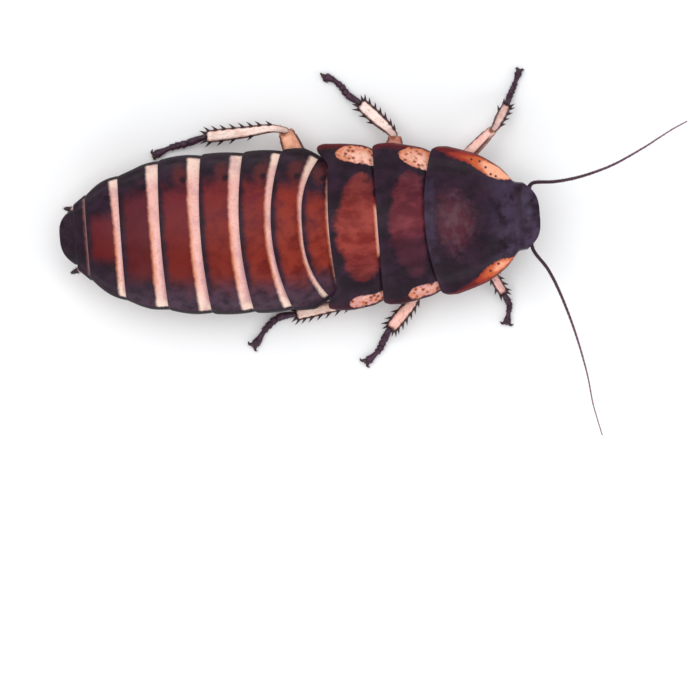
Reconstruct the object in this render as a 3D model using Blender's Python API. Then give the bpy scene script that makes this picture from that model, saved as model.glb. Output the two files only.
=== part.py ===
"""A young madagascar hissing cockroach, life size and standing, with its head towards +X.

Its origin is on the floor below the middle of its box, and +Z is up.
"""

import math

import bmesh
import bpy
import numpy as np
from mathutils import Matrix, Vector

# The sizes below are in millimetres, and MM turns a finished point into metres.
MM = 0.001

# Clear space between two pieces that touch, and the distance at which points are welded.
GAP = 0.1
WELD = 0.001

UP = (0.0, 0.0, 1.0)

# Body: along X from the tail end to the hood, across Y, and up from the floor.
TAIL_X = -16.0
HOOD_X = 16.0
WIDEST_X = -5.0
ABDOMEN_HALF_WIDTH = 5.42
MARGIN_THICKNESS = 0.3
HOOD_THICKNESS = 0.55
TAIL_SWING = 0.0034
PRONOTUM_YAW = -0.038
PRONOTUM_YAW_X = 8.0

# Height of the middle of the back, of the side margins and of the belly, from tail to head.
BACK_HEIGHTS = [
    (-16.0, 3.2), (-15.0, 4.05), (-14.0, 4.7), (-12.0, 5.45), (-9.0, 6.15), (-6.0, 6.5), (-2.0, 6.7),
    (2.0, 6.65), (5.0, 6.5), (8.0, 6.45), (10.0, 6.6), (12.0, 6.25), (13.5, 5.5), (14.6, 4.95),
    (15.3, 5.05), (16.0, 4.7),
]
MARGIN_HEIGHTS = [
    (-16.0, 2.6), (-14.0, 2.85), (-10.0, 3.0), (8.0, 3.0), (12.0, 3.15), (14.0, 3.65), (15.2, 3.95),
]
BELLY_HEIGHTS = [
    (-15.2, 2.1), (-13.5, 1.65), (-11.0, 1.35), (-8.0, 1.2), (-5.0, 1.35), (-2.0, 1.8), (0.5, 2.2), (2.0, 2.3),
]
# The rear lip of each back plate stands this much above the plate behind it.
LIP = 0.1
# An abdomen plate is this share wider than the plan at its rear corners, and narrows by SCALLOP towards its front.
REAR_CORNER_FLARE = 0.01
SCALLOP = 0.022

# Rear edge of each back plate: its place at the middle of the back, how far its sides
# sweep forward, and how far its corners turn back again.
REAR_EDGES = {
    "pronotum": (8.30, 0.85, 0.0),
    "mesonotum": (5.17, 0.05, 0.0),
    "metanotum": (1.93, 0.50, 0.75),
    "tergite_1": (0.27, 0.90, 0.0),
    "tergite_2": (-1.90, 1.10, 0.0),
    "tergite_3": (-4.00, 0.60, 0.0),
    "tergite_4": (-6.60, 0.38, 0.0),
    "tergite_5": (-9.26, 0.17, 0.0),
    "tergite_6": (-11.90, 0.03, 0.0),
    "tergite_7": (-14.15, 0.0, 0.0),
    "tergite_8": (-14.95, 0.0, 0.0),
}
CORNER_START = 0.75

# Half width of the three thorax plates and of the tail plate, by the place along the body.
PRONOTUM_PLAN = [
    (9.15, 4.5), (9.4, 4.8), (9.9, 4.92), (11.0, 4.7), (12.0, 4.35), (13.0, 3.74), (13.5, 3.35),
    (14.0, 2.83), (14.35, 2.38), (14.6, 2.28), (15.0, 2.24), (15.15, 2.1),
]
MESONOTUM_PLAN = [(5.2, 5.05), (5.5, 5.3), (6.1, 5.42), (6.9, 5.35), (7.8, 5.1), (8.5, 4.85), (9.1, 4.5)]
METANOTUM_PLAN = [(1.5, 5.32), (1.9, 5.44), (2.8, 5.55), (3.8, 5.5), (4.6, 5.38), (5.2, 5.05)]
TAIL_PLAN = [(-15.35, 1.55), (-15.1, 1.85), (-14.9, 2.0)]

# The front rim of the hood is drawn back at its corners by this much, in this blunt a curve,
# and the hollow below it for the head starts between these two places.
HOOD_CORNER_BACK = 0.85
HOOD_BLUNTNESS = 3.5
HOOD_HOLLOW = (11.5, 12.5)
# The tail plate's rear edge is drawn forward at its corners by this much.
TAIL_CORNER_FORWARD = 0.65

# Places of the cross rows of a plate, from its rear edge at 0 to its front edge at 1.
PRONOTUM_ROWS = [0.0, 0.1, 0.22, 0.36, 0.5, 0.63, 0.74, 0.82, 0.87, 0.91, 0.96, 1.0]
THORAX_ROWS = [0.0, 0.12, 0.35, 0.7, 0.9, 1.0]
ABDOMEN_ROWS = [0.0, 0.5, 1.0]
TAIL_ROWS = [0.0, 0.35, 0.7, 1.0]

# Columns across a back plate and a belly plate.
BACK_COLUMNS = 16
BELLY_COLUMNS = 14

# Head: half sizes, tilt of the face, and its middle.
HEAD_HALF_WIDTH = 1.62
HEAD_HALF_DEPTH = 0.92
HEAD_HALF_HEIGHT = 1.85
HEAD_TILT = math.radians(25)
HEAD_MIDDLE = (14.2, -0.2, 2.5)
HEAD_WIDTHS = [(-1.0, 0.5), (-0.75, 0.6), (-0.3, 0.8), (0.2, 0.98), (0.6, 1.03), (1.0, 0.95)]
HEAD_DEPTHS = [(-1.0, 0.6), (-0.5, 0.85), (0.1, 1.0), (0.6, 1.0), (1.0, 0.85)]
EYE_HALF_SIZES = (0.5, 0.3, 0.72)
EYE_PLACE = (0.05, 1.48, 0.62)
EYE_SOCKET_ROOM = 0.07
EYE_FACETS = (14, 10)
# Mouth feelers, from the cheek down and forward, in the head's own frame.
PALP_HALF_THICKNESS = 0.25
PALP_ROUTE = [(-0.1, 0.6, -0.95), (0.3, 1.0, -1.05), (0.9, 1.15, -1.0), (1.35, 1.0, -1.2)]
NECK_ENDS = ((12.52, -0.18, 3.45), (13.2, -0.2, 3.35))
NECK_HALF_WIDTHS = [0.95, 1.0, 0.9]
NECK_HALF_HEIGHTS = [0.65, 0.7, 0.65]

# Legs: coxa from hip to trochanter, then knee, ankle and the foot's route, each (x, y, z).
LEGS = {
    "hind_left": {
        "hip": (4.7, 1.5, 1.8), "trochanter": (1.5, 2.3, 1.6), "knee": (-0.36, 6.70, 2.5),
        "ankle": (-5.87, 6.64, 0.86),
        "foot": [
            (-6.2, 6.6, 0.66), (-7.2, 6.42, 0.36), (-8.1, 6.25, 0.27), (-8.95, 5.87, 0.27), (-9.3, 5.69, 0.28),
        ],
        "claws": [(-9.42, 6.15, 0.12), (-9.2, 5.38, 0.12)],
    },
    "hind_right": {
        "hip": (4.5, -1.25, 1.8), "trochanter": (1.4, -2.5, 1.6), "knee": (4.44, -5.02, 2.1),
        "ankle": (-0.77, -5.81, 0.84),
        "foot": [
            (-1.1, -5.83, 0.64), (-1.9, -5.94, 0.36), (-2.7, -6.52, 0.27), (-3.3, -7.18, 0.27),
            (-3.64, -7.47, 0.28),
        ],
        "claws": [(-4.04, -7.15, 0.12), (-3.4, -7.91, 0.12)],
    },
    "mid_left": {
        "hip": (8.4, 1.4, 1.8), "trochanter": (6.2, 2.25, 1.58), "knee": (6.79, 5.66, 2.2),
        "ankle": (4.63, 8.13, 0.84),
        "foot": [
            (4.37, 8.32, 0.64), (3.85, 8.72, 0.36), (3.5, 9.28, 0.27), (2.95, 9.82, 0.27), (2.4, 10.04, 0.28),
        ],
        "claws": [(2.22, 10.36, 0.12), (2.6, 9.6, 0.12)],
    },
    "mid_right": {
        "hip": (8.4, -1.4, 1.8), "trochanter": (6.2, -2.1, 1.58), "knee": (7.62, -4.75, 2.15),
        "ankle": (5.5, -7.08, 0.84),
        "foot": [
            (5.3, -7.34, 0.64), (4.97, -7.9, 0.36), (4.7, -8.38, 0.27), (4.2, -8.84, 0.27), (3.8, -9.12, 0.28),
        ],
        "claws": [(3.32, -8.82, 0.12), (4.02, -9.56, 0.12)],
    },
    "front_left": {
        "hip": (12.0, 1.2, 1.82), "trochanter": (10.0, 2.75, 1.58), "knee": (13.26, 5.6, 2.15),
        "ankle": (14.42, 7.26, 0.84),
        "foot": [
            (14.52, 7.56, 0.62), (14.72, 8.0, 0.34), (14.98, 8.5, 0.27), (15.2, 9.0, 0.27), (15.38, 9.42, 0.28),
        ],
        "claws": [(15.74, 9.44, 0.12), (15.12, 9.64, 0.12)],
    },
    "front_right": {
        "hip": (11.5, -1.2, 1.82), "trochanter": (9.5, -2.75, 1.58), "knee": (12.27, -3.5, 2.05),
        "ankle": (13.27, -5.32, 0.84),
        "foot": [
            (13.4, -5.6, 0.62), (13.58, -6.05, 0.34), (13.5, -6.5, 0.27), (13.4, -6.95, 0.27),
            (13.33, -7.2, 0.28),
        ],
        "claws": [(12.84, -7.1, 0.12), (13.82, -7.38, 0.12)],
    },
}
# Half width and half height of the coxa and the femur, half widths of the tibia at the knee
# and the ankle, and the number and length of the tibia's front spines.
LEG_SIZES = {
    "hind": {"coxa": (1.2, 0.44), "femur": (0.64, 0.4), "tibia": (0.3, 0.41), "spines": 8, "spine": 0.52},
    "mid": {"coxa": (1.1, 0.44), "femur": (0.6, 0.4), "tibia": (0.32, 0.46), "spines": 6, "spine": 0.48},
    "front": {"coxa": (1.0, 0.44), "femur": (0.46, 0.36), "tibia": (0.28, 0.34), "spines": 4, "spine": 0.4},
}
# Share of the full width and height at even steps, from the hip down to the knee.
COXA_WIDTHS = [0.6, 0.95, 1.0, 0.78, 0.35]
COXA_HEIGHTS = [0.7, 1.0, 1.0, 0.85, 0.6]
FEMUR_WIDTHS = [0.45, 0.75, 0.95, 1.0, 0.92, 0.75, 0.5]
FEMUR_HEIGHTS = [0.62, 0.85, 1.0, 1.0, 0.95, 0.9, 0.65]
TIBIA_HALF_HEIGHTS = (0.25, 0.33)
SPINE_LEAN = 0.25
TARSUS_HALF_WIDTH = 0.27
TARSUS_HALF_HEIGHT = 0.32
TARSUS_TIP_SPREAD = 1.25
TARSUS_STEPS = 10
SOLE_HEIGHT = 0.0
# A length of leg starts this far past the joint: less where the leg is straight, more where it folds back.
STRAIGHT_ROOM = 0.35
FOLDED_ROOM = 1.15
LIMB_SIDES = 8
FOOT_SIDES = 6

# Feelers: route from the socket on the face, under the hood's corner and out to the tip.
FEELER_HALF_THICKNESS = 0.25
FEELERS = {
    "left": [
        (15.42, 0.62, 3.0), (15.5, 1.2, 3.05), (15.62, 1.78, 3.15), (16.03, 1.95, 3.3), (17.2, 1.88, 3.75),
        (18.9, 2.08, 4.2), (21.0, 2.66, 4.45), (23.1, 3.62, 4.35), (25.1, 4.7, 4.0), (26.26, 5.23, 3.75),
    ],
    "right": [
        (15.38, -1.02, 3.0), (15.36, -1.6, 3.05), (15.32, -2.2, 3.15), (15.55, -2.82, 3.3), (16.3, -3.95, 3.7),
        (17.0, -5.67, 4.1), (17.75, -8.2, 4.4), (18.34, -11.0, 4.35), (18.6, -13.1, 4.05), (19.06, -15.2, 3.7),
    ],
}
# Shares of a feeler's length where its base, middle and tip part, and the spacing of its points.
FEELER_CUTS = (0.0, 0.11, 0.52, 1.0)
FEELER_STEP = 0.75
FEELER_FINE_STEPS = 3
ROUTE_STEPS = 24

# Tail feelers, from root to tip.
CERCI = {
    "cercus_left": ((-14.8, 2.22, 2.44), (-15.62, 2.62, 2.45)),
    "cercus_right": ((-14.76, -1.36, 2.44), (-15.5, -1.78, 2.45)),
}
CERCUS_HALF_THICKNESSES = [0.24, 0.27, 0.23, 0.11]

# Belly plates: rear edges at the middle, front to rear, and how far the last one's sides sweep forward.
STERNITE_EDGES = [0.35, -1.9, -4.1, -6.6, -9.2, -11.8, -15.1]
LAST_STERNITE_SWEEP = 1.3
STERNITE_INSET = 0.95
BELLY_EDGE = 0.12
BELLY_ROWS = (0.0, 0.5, 1.0)
# Front and rear ends and half widths of the three undersides of the thorax.
THORAX_UNDERSIDES = {
    "prosternum": (8.75, 12.4, 3.35, 2.4),
    "mesosternum": (5.25, 8.65, 3.9, 3.5),
    "metasternum": (1.65, 5.15, 4.2, 4.0),
}

DARK = (0.035, 0.02, 0.035)
RED_BROWN = (0.22, 0.035, 0.028)
TAN = (0.6, 0.25, 0.16)
PALE = (0.75, 0.45, 0.36)
EYE_BLACK = (0.015, 0.01, 0.015)
SATIN = 0.35
GLOSS = 0.15
SHARP_ANGLE = math.radians(40)


def through(pairs, x):
    """Height at x of a smooth curve through the (x, height) pairs, with no overshoot."""
    xs, ys = zip(*pairs)
    if x <= xs[0]:
        return ys[0]
    if x >= xs[-1]:
        return ys[-1]
    rises = [(ys[i + 1] - ys[i]) / (xs[i + 1] - xs[i]) for i in range(len(xs) - 1)]
    slopes = [rises[0]]
    for before, after in zip(rises, rises[1:]):
        slopes.append(0.0 if before * after <= 0 else 2 * before * after / (before + after))
    slopes.append(rises[-1])
    i = max(k for k in range(len(xs) - 1) if xs[k] <= x)
    span = xs[i + 1] - xs[i]
    t = (x - xs[i]) / span
    return (
        (1 + 2 * t) * (1 - t) ** 2 * ys[i]
        + t * (1 - t) ** 2 * span * slopes[i]
        + t * t * (3 - 2 * t) * ys[i + 1]
        + t * t * (t - 1) * span * slopes[i + 1]
    )


def smooth_step(low, high, x):
    t = min(1.0, max(0.0, (x - low) / (high - low)))
    return t * t * (3 - 2 * t)


def blend(a, b, t):
    return a + (b - a) * t


def swing(x):
    """How far the body's middle line lies to the left at x: the tail curves and the pronotum is turned."""
    side = TAIL_SWING * min(0.0, x) ** 2
    return side + PRONOTUM_YAW * max(0.0, x - PRONOTUM_YAW_X)


def abdomen_half_width(x):
    """The abdomen's plan is half an ellipse behind its widest place."""
    reach = min(0.0, x - WIDEST_X) / (TAIL_X - 0.05 - WIDEST_X)
    return ABDOMEN_HALF_WIDTH * math.sqrt(max(0.0, 1 - reach * reach))


def rear_edge(name, u):
    """Place along the body of a plate's rear edge, with u from -1 at the right side to 1 at the left."""
    middle, sweep, turn = REAR_EDGES[name]
    corner = max(0.0, (abs(u) - CORNER_START) / (1 - CORNER_START))
    return middle + sweep * u * u - turn * corner * corner


def arch(x, u):
    """Share of the back's height at u: a plain vault behind, flared margins on the thorax, a boxy hood."""
    u = min(1.0, abs(u))
    vault = (1 - u ** 2.2) ** 0.9
    flared = math.cos(math.pi * u / 2) ** 1.3
    hood = (1 - u ** 3.2) ** 0.6
    on_thorax = 0.55 * smooth_step(-3.0, 3.0, x)
    on_hood = smooth_step(13.4, 14.5, x)
    return blend(blend(vault, flared, on_thorax), hood, on_hood)


def back_height(x, u):
    margin = through(MARGIN_HEIGHTS, x) + MARGIN_THICKNESS
    return margin + (through(BACK_HEIGHTS, x) - margin) * arch(x, u)


def mesh_in_metres(name, bm):
    for vert in bm.verts:
        vert.co *= MM
    mesh = bpy.data.meshes.new(name)
    bm.to_mesh(mesh)
    bm.free()
    return mesh


def add_object(name, bm, colour, roughness=SATIN):
    """Turns a mesh in millimetres into an object in metres, with its own material."""
    mesh = mesh_in_metres(name, bm)
    mesh.shade_smooth()
    mesh.set_sharp_from_angle(angle=SHARP_ANGLE)
    material = bpy.data.materials.new(name)
    material.use_nodes = True
    shader = material.node_tree.nodes["Principled BSDF"]
    shader.inputs["Base Color"].default_value = (*colour, 1.0)
    shader.inputs["Roughness"].default_value = roughness
    shader.inputs["Metallic"].default_value = 0.0
    mesh.materials.append(material)
    obj = bpy.data.objects.new(name, mesh)
    insect.objects.link(obj)
    return obj


def slab(top, bottom):
    """A closed mesh between two grids of points of the same size, top above bottom."""
    rows, columns = len(top), len(top[0])
    bm = bmesh.new()
    upper = [[bm.verts.new(p) for p in row] for row in top]
    lower = [[bm.verts.new(p) for p in row] for row in bottom]
    for i in range(rows - 1):
        for j in range(columns - 1):
            bm.faces.new((upper[i][j], upper[i + 1][j], upper[i + 1][j + 1], upper[i][j + 1]))
            bm.faces.new((lower[i][j], lower[i][j + 1], lower[i + 1][j + 1], lower[i + 1][j]))
    rim = [(i, 0) for i in range(rows)] + [(rows - 1, j) for j in range(1, columns)]
    rim += [(i, columns - 1) for i in range(rows - 2, -1, -1)] + [(0, j) for j in range(columns - 2, 0, -1)]
    for (i, j), (k, m) in zip(rim, rim[1:] + rim[:1]):
        bm.faces.new((upper[i][j], lower[i][j], lower[k][m], upper[k][m]))
    bmesh.ops.recalc_face_normals(bm, faces=bm.faces)
    return bm


def across(columns):
    """Places across a plate from -1 to 1, closer together towards the margins."""
    return [math.sin(math.pi / 2 * (2 * j / columns - 1)) for j in range(columns + 1)]


def flat_floor(x, _top):
    """The underside of a back plate, just above the belly plates."""
    return through(MARGIN_HEIGHTS, x) + GAP / 2


def hooded_floor(x, top):
    """The pronotum's underside rises under the hood, where the head hangs."""
    return blend(flat_floor(x, top), top - HOOD_THICKNESS, smooth_step(*HOOD_HOLLOW, x))


def back_plate(name, rear, front, half_width, rows, colour, lip=LIP, floor=flat_floor):
    """A back plate between two edges, each a function of u. The rear edge stands proud by lip."""
    top, bottom = [], []
    for t in rows:
        reach = half_width(blend(rear(1.0), front(1.0), t), t)
        upper_row, lower_row = [], []
        for u in across(BACK_COLUMNS):
            x = blend(rear(u), front(u), t)
            y = u * reach + swing(x)
            z = back_height(x, u) + lip * (1 - t)
            upper_row.append((x, y, z))
            lower_row.append((x, y, floor(x, z)))
        top.append(upper_row)
        bottom.append(lower_row)
    return add_object(name, slab(top, bottom), colour)


def add_back():
    """Every plate of the back, from the pronotum's hood to the tail plate."""
    def hood_rim(u):
        return HOOD_X - HOOD_CORNER_BACK * abs(u) ** HOOD_BLUNTNESS

    def tail_rim(u):
        return TAIL_X + TAIL_CORNER_FORWARD * abs(u) ** 3

    def rear_of(name):
        return lambda u: rear_edge(name, u)

    def behind(name):
        return lambda u: rear_edge(name, u) - GAP

    def planned(plan):
        return lambda x, _t: through(plan, x)

    def scalloped(x, t):
        """Each abdomen plate stands proud of the next one at its rear corners."""
        return abdomen_half_width(x) * (1 + REAR_CORNER_FLARE - SCALLOP * t)

    back_plate(
        "pronotum", rear_of("pronotum"), hood_rim, planned(PRONOTUM_PLAN), PRONOTUM_ROWS, DARK, floor=hooded_floor
    )
    for front, name, plan in (
        ("pronotum", "mesonotum", MESONOTUM_PLAN),
        ("mesonotum", "metanotum", METANOTUM_PLAN),
    ):
        back_plate(name, rear_of(name), behind(front), planned(plan), THORAX_ROWS, RED_BROWN)
    abdomen = list(REAR_EDGES)[2:]
    for front, name in zip(abdomen, abdomen[1:]):
        back_plate(name, rear_of(name), behind(front), scalloped, ABDOMEN_ROWS, RED_BROWN)
    back_plate("supra_anal_plate", tail_rim, behind("tergite_8"), planned(TAIL_PLAN), TAIL_ROWS, DARK, lip=0.0)


def belly_plate(name, rear, front, half_width, colour):
    """A belly plate between two edges, flat on top under the back plates and bulging below."""
    top, bottom = [], []
    for t in BELLY_ROWS:
        reach = half_width(blend(rear(0.9), front(0.9), t))
        upper_row, lower_row = [], []
        for u in across(BELLY_COLUMNS):
            x = blend(rear(u), front(u), t)
            y = u * reach + swing(x)
            ceiling = through(MARGIN_HEIGHTS, x) - GAP / 2
            edge = ceiling - BELLY_EDGE
            bulge = (1 - abs(u) ** 2.6) ** 0.8
            upper_row.append((x, y, ceiling))
            lower_row.append((x, y, blend(edge, through(BELLY_HEIGHTS, x), bulge)))
        top.append(upper_row)
        bottom.append(lower_row)
    return add_object(name, slab(top, bottom), colour)


def add_belly():
    """The underside of the thorax and the seven belly plates."""
    def straight(x, sweep=0.0):
        return lambda u: x + sweep * u * u

    def tapering(rear_x, front_x, rear_width, front_width):
        return lambda x: blend(rear_width, front_width, (x - rear_x) / (front_x - rear_x))

    def inset(x):
        return STERNITE_INSET * abdomen_half_width(x)

    for name, (rear_x, front_x, *widths) in THORAX_UNDERSIDES.items():
        belly_plate(name, straight(rear_x), straight(front_x), tapering(rear_x, front_x, *widths), TAN)
    front_x = THORAX_UNDERSIDES["metasternum"][0] - GAP
    for number, rear_x in enumerate(STERNITE_EDGES, 1):
        sweep = LAST_STERNITE_SWEEP if rear_x == STERNITE_EDGES[-1] else 0.0
        belly_plate(f"sternite_{number}", straight(rear_x, sweep), straight(front_x), inset, RED_BROWN)
        front_x = rear_x - GAP


def ring(middle, along, upright, half_width, half_height, sides, floor=None):
    """Points round an oval whose plane faces along, with a flat side down."""
    along = Vector(along).normalized()
    side = Vector(upright).cross(along).normalized()
    up = along.cross(side).normalized()
    points = []
    for k in range(sides):
        angle = 2 * math.pi * (k + 0.5) / sides
        point = Vector(middle) + side * half_width * math.sin(angle) - up * half_height * math.cos(angle)
        if floor is not None:
            point.z = max(point.z, floor)
        points.append(point)
    return points


def skin_rings(rings):
    """A closed mesh over a row of rings with the same number of points, and its quads by ring and side."""
    bm = bmesh.new()
    rows = [[bm.verts.new(p) for p in points] for points in rings]
    sides = len(rows[0])
    quads = []
    for a, b in zip(rows, rows[1:]):
        quads.append([bm.faces.new((a[k - 1], a[k], b[k], b[k - 1])) for k in range(sides)])
    bm.faces.new(reversed(rows[0]))
    bm.faces.new(rows[-1])
    bmesh.ops.recalc_face_normals(bm, faces=bm.faces)
    return bm, quads


def draw_out(bm, face, tip):
    """Raises one face into a spine that ends at tip."""
    centre = bmesh.ops.poke(bm, faces=[face])["verts"][0]
    centre.co = Vector(tip)


def limb_length(name, start, end, upright, widths, heights, colour):
    """One straight length of a leg, with its half widths and half heights at even steps."""
    start, end = Vector(start), Vector(end)
    rings = []
    for i, (width, height) in enumerate(zip(widths, heights)):
        t = i / (len(widths) - 1)
        rings.append(ring(start.lerp(end, t), end - start, upright, width, height, LIMB_SIDES))
    bm, _ = skin_rings(rings)
    return add_object(name, bm, colour)


def past_joint(before, joint, after):
    """Where the next length of the leg starts, on its way from the joint to the place after it."""
    arriving, leaving = (joint - before).normalized(), (after - joint).normalized()
    fold = 0.5 * (1 - arriving.dot(leaving))
    return joint + leaving * blend(STRAIGHT_ROOM, FOLDED_ROOM, fold)


def coxa_and_femur(leg, places, sizes):
    hip, trochanter, knee = (Vector(places[key]) for key in ("hip", "trochanter", "knee"))
    for name, start, end, widths, heights in (
        ("coxa", hip, trochanter, COXA_WIDTHS, COXA_HEIGHTS),
        ("femur", past_joint(hip, trochanter, knee), knee, FEMUR_WIDTHS, FEMUR_HEIGHTS),
    ):
        width, height = sizes[name]
        limb_length(
            f"{name}_{leg}", start, end, UP, [width * share for share in widths],
            [height * share for share in heights], TAN,
        )


def add_tibia(leg, places, sizes):
    """A shin with a full row of spines along its front edge and half as many along the other."""
    trochanter, knee, ankle = (Vector(places[key]) for key in ("trochanter", "knee", "ankle"))
    along = (ankle - knee).normalized()
    start = past_joint(trochanter, knee, ankle)
    narrow, wide = sizes["tibia"]
    spans = sizes["spines"] + 2
    rings = []
    for i in range(spans + 1):
        t = i / spans
        width = blend(narrow, wide, smooth_step(0.0, 0.5, t))
        height = blend(*TIBIA_HALF_HEIGHTS, t)
        rings.append(ring(start.lerp(ankle, t), along, UP, width, height, LIMB_SIDES))
    bm, quads = skin_rings(rings)
    front = Vector((along.y, -along.x, 0.0)).normalized() * math.copysign(1.0, start.y)
    for i in range(2, spans):
        middle = start.lerp(ankle, (i + 0.5) / spans)
        by_reach = sorted(quads[i], key=lambda face: front.dot(face.calc_center_median() - middle))
        edges = [(by_reach[-1], front)] if i % 2 else [(by_reach[-1], front), (by_reach[0], -front)]
        for face, way in edges:
            draw_out(bm, face, face.calc_center_median() + way * sizes["spine"] + along * SPINE_LEAN)
    add_object(f"tibia_{leg}", bm, PALE)


def add_tarsus(leg, places):
    """A foot whose sole is flat on the floor, with a claw on each side of its tip."""
    route = [Vector(p) for p in places["foot"]]
    rings = []
    for i in range(TARSUS_STEPS + 1):
        t = i / TARSUS_STEPS * (len(route) - 1)
        k = min(len(route) - 2, int(t))
        middle = route[k].lerp(route[k + 1], t - k)
        way = route[k + 1] - route[k]
        half = TARSUS_HALF_WIDTH * (TARSUS_TIP_SPREAD if i >= TARSUS_STEPS - 1 else 1.0)
        rings.append(ring(middle, way, UP, half, TARSUS_HALF_HEIGHT, FOOT_SIDES, SOLE_HEIGHT))
    bm, quads = skin_rings(rings)
    for claw in places["claws"]:
        nearest = min(quads[-1], key=lambda face: (face.calc_center_median() - Vector(claw)).length)
        quads[-1].remove(nearest)
        draw_out(bm, nearest, claw)
    add_object(f"tarsus_{leg}", bm, DARK)


def add_legs():
    for leg, places in LEGS.items():
        sizes = LEG_SIZES[leg.split("_")[0]]
        coxa_and_femur(leg, places, sizes)
        add_tibia(leg, places, sizes)
        add_tarsus(leg, places)


def on_head(point):
    """A point of the head, given with the face towards +X, at its place on the tilted head."""
    return Matrix.Rotation(HEAD_TILT, 3, "Y") @ Vector(point) + Vector(HEAD_MIDDLE)


def oval(segments, rings, half_sizes, middle, mirror=1.0):
    """An ellipsoid on the head."""
    bm = bmesh.new()
    bmesh.ops.create_uvsphere(bm, u_segments=segments, v_segments=rings, radius=1.0)
    for vert in bm.verts:
        local = [vert.co[axis] * half_sizes[axis] + middle[axis] for axis in range(3)]
        local[1] *= mirror
        vert.co = on_head(local)
    if mirror < 0:
        bmesh.ops.reverse_faces(bm, faces=bm.faces)
    return bm


def add_tool(name, bm):
    """A helper shape that is cut from a piece or joined to it."""
    obj = bpy.data.objects.new(name, mesh_in_metres(name, bm))
    obj.hide_render = True
    obj.display_type = "WIRE"
    helpers.objects.link(obj)
    return obj


def shape_with(obj, tool, operation):
    change = obj.modifiers.new(tool.name, "BOOLEAN")
    change.operation = operation
    change.solver = "EXACT"
    change.object = tool


def palp(mirror):
    """A mouth feeler as a bent bar, on the left where mirror is 1 and on the right where it is -1."""
    rings = []
    for i, point in enumerate(PALP_ROUTE):
        before, after = PALP_ROUTE[max(0, i - 1)], PALP_ROUTE[min(len(PALP_ROUTE) - 1, i + 1)]
        middle, way = on_head((point[0], mirror * point[1], point[2])), Vector(after) - Vector(before)
        way.y *= mirror
        way = Matrix.Rotation(HEAD_TILT, 3, "Y") @ way
        rings.append(ring(middle, way, (0.0, 1.0, 0.2), PALP_HALF_THICKNESS, PALP_HALF_THICKNESS, FOOT_SIDES))
    return skin_rings(rings)[0]


def add_head():
    """The head hangs face down under the hood, with its eyes, mouth feelers and neck."""
    bm = bmesh.new()
    bmesh.ops.create_uvsphere(bm, u_segments=16, v_segments=12, radius=1.0)
    for vert in bm.verts:
        h = vert.co.z
        local = (
            vert.co.x * HEAD_HALF_DEPTH * through(HEAD_DEPTHS, h),
            vert.co.y * HEAD_HALF_WIDTH * through(HEAD_WIDTHS, h),
            h * HEAD_HALF_HEIGHT,
        )
        vert.co = on_head(local)
    head = add_object("head", bm, DARK)
    socket_half_sizes = [size + EYE_SOCKET_ROOM for size in EYE_HALF_SIZES]
    for side, mirror in (("left", 1.0), ("right", -1.0)):
        socket = oval(*EYE_FACETS, socket_half_sizes, EYE_PLACE, mirror)
        shape_with(head, add_tool(f"eye_socket_{side}", socket), "DIFFERENCE")
        add_object(f"eye_{side}", oval(*EYE_FACETS, EYE_HALF_SIZES, EYE_PLACE, mirror), EYE_BLACK, GLOSS)
        shape_with(head, add_tool(f"palp_{side}", palp(mirror)), "UNION")
    limb_length("neck", *NECK_ENDS, UP, NECK_HALF_WIDTHS, NECK_HALF_HEIGHTS, TAN)


def smooth_route(points, step):
    """Points every step along a smooth curve through the given ones."""
    pts = [Vector(points[0])] + [Vector(p) for p in points] + [Vector(points[-1])]
    fine = []
    for a, b, c, d in zip(pts, pts[1:], pts[2:], pts[3:]):
        for t in np.linspace(0.0, 1.0, ROUTE_STEPS, endpoint=False):
            fine.append(0.5 * ((2 * b) + (c - a) * t + (2 * a - 5 * b + 4 * c - d) * t * t
                               + (3 * b - a - 3 * c + d) * t ** 3))
    fine.append(pts[-1])
    lengths = np.concatenate([[0.0], np.cumsum([(q - p).length for p, q in zip(fine, fine[1:])])])
    count = max(2, round(lengths[-1] / step))
    places = np.linspace(0.0, lengths[-1], count + 1)
    columns = [np.interp(places, lengths, [p[axis] for p in fine]) for axis in range(3)]
    return [Vector(point) for point in zip(*columns)]


def add_tube(name, points, half_thickness, colour):
    """A round bar along the points, made a mesh with its caps welded."""
    curve = bpy.data.curves.new(name, "CURVE")
    curve.dimensions = "3D"
    curve.bevel_depth = half_thickness
    curve.bevel_resolution = 1
    curve.use_fill_caps = True
    spline = curve.splines.new("POLY")
    spline.points.add(len(points) - 1)
    for place, point in zip(spline.points, points):
        place.co = (*point, 1.0)
    guide = bpy.data.objects.new(name + "_route", curve)
    helpers.objects.link(guide)
    bpy.context.view_layer.update()
    mesh = bpy.data.meshes.new_from_object(guide.evaluated_get(bpy.context.evaluated_depsgraph_get()))
    bpy.data.objects.remove(guide)
    bm = bmesh.new()
    bm.from_mesh(mesh)
    bpy.data.meshes.remove(mesh)
    bmesh.ops.remove_doubles(bm, verts=bm.verts, dist=WELD)
    return add_object(name, bm, colour)


def add_feelers():
    """Each feeler in three lengths: the thick base, the middle and the tip."""
    for side, points in FEELERS.items():
        route = smooth_route(points, FEELER_STEP / FEELER_FINE_STEPS)
        for name, low, high in zip(("base", "middle", "tip"), FEELER_CUTS, FEELER_CUTS[1:]):
            first, last = round(low * (len(route) - 1)), round(high * (len(route) - 1))
            stretch = route[first:last + 1:FEELER_FINE_STEPS]
            if route[last] not in stretch:
                stretch[-1] = route[last]
            if low > 0:
                stretch[0] = stretch[0] + (stretch[1] - stretch[0]).normalized() * GAP
            add_tube(f"antenna_{name}_{side}", stretch, FEELER_HALF_THICKNESS, DARK)


def add_cerci():
    for name, (root, tip) in CERCI.items():
        limb_length(name, root, tip, UP, CERCUS_HALF_THICKNESSES, CERCUS_HALF_THICKNESSES, DARK)


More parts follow.
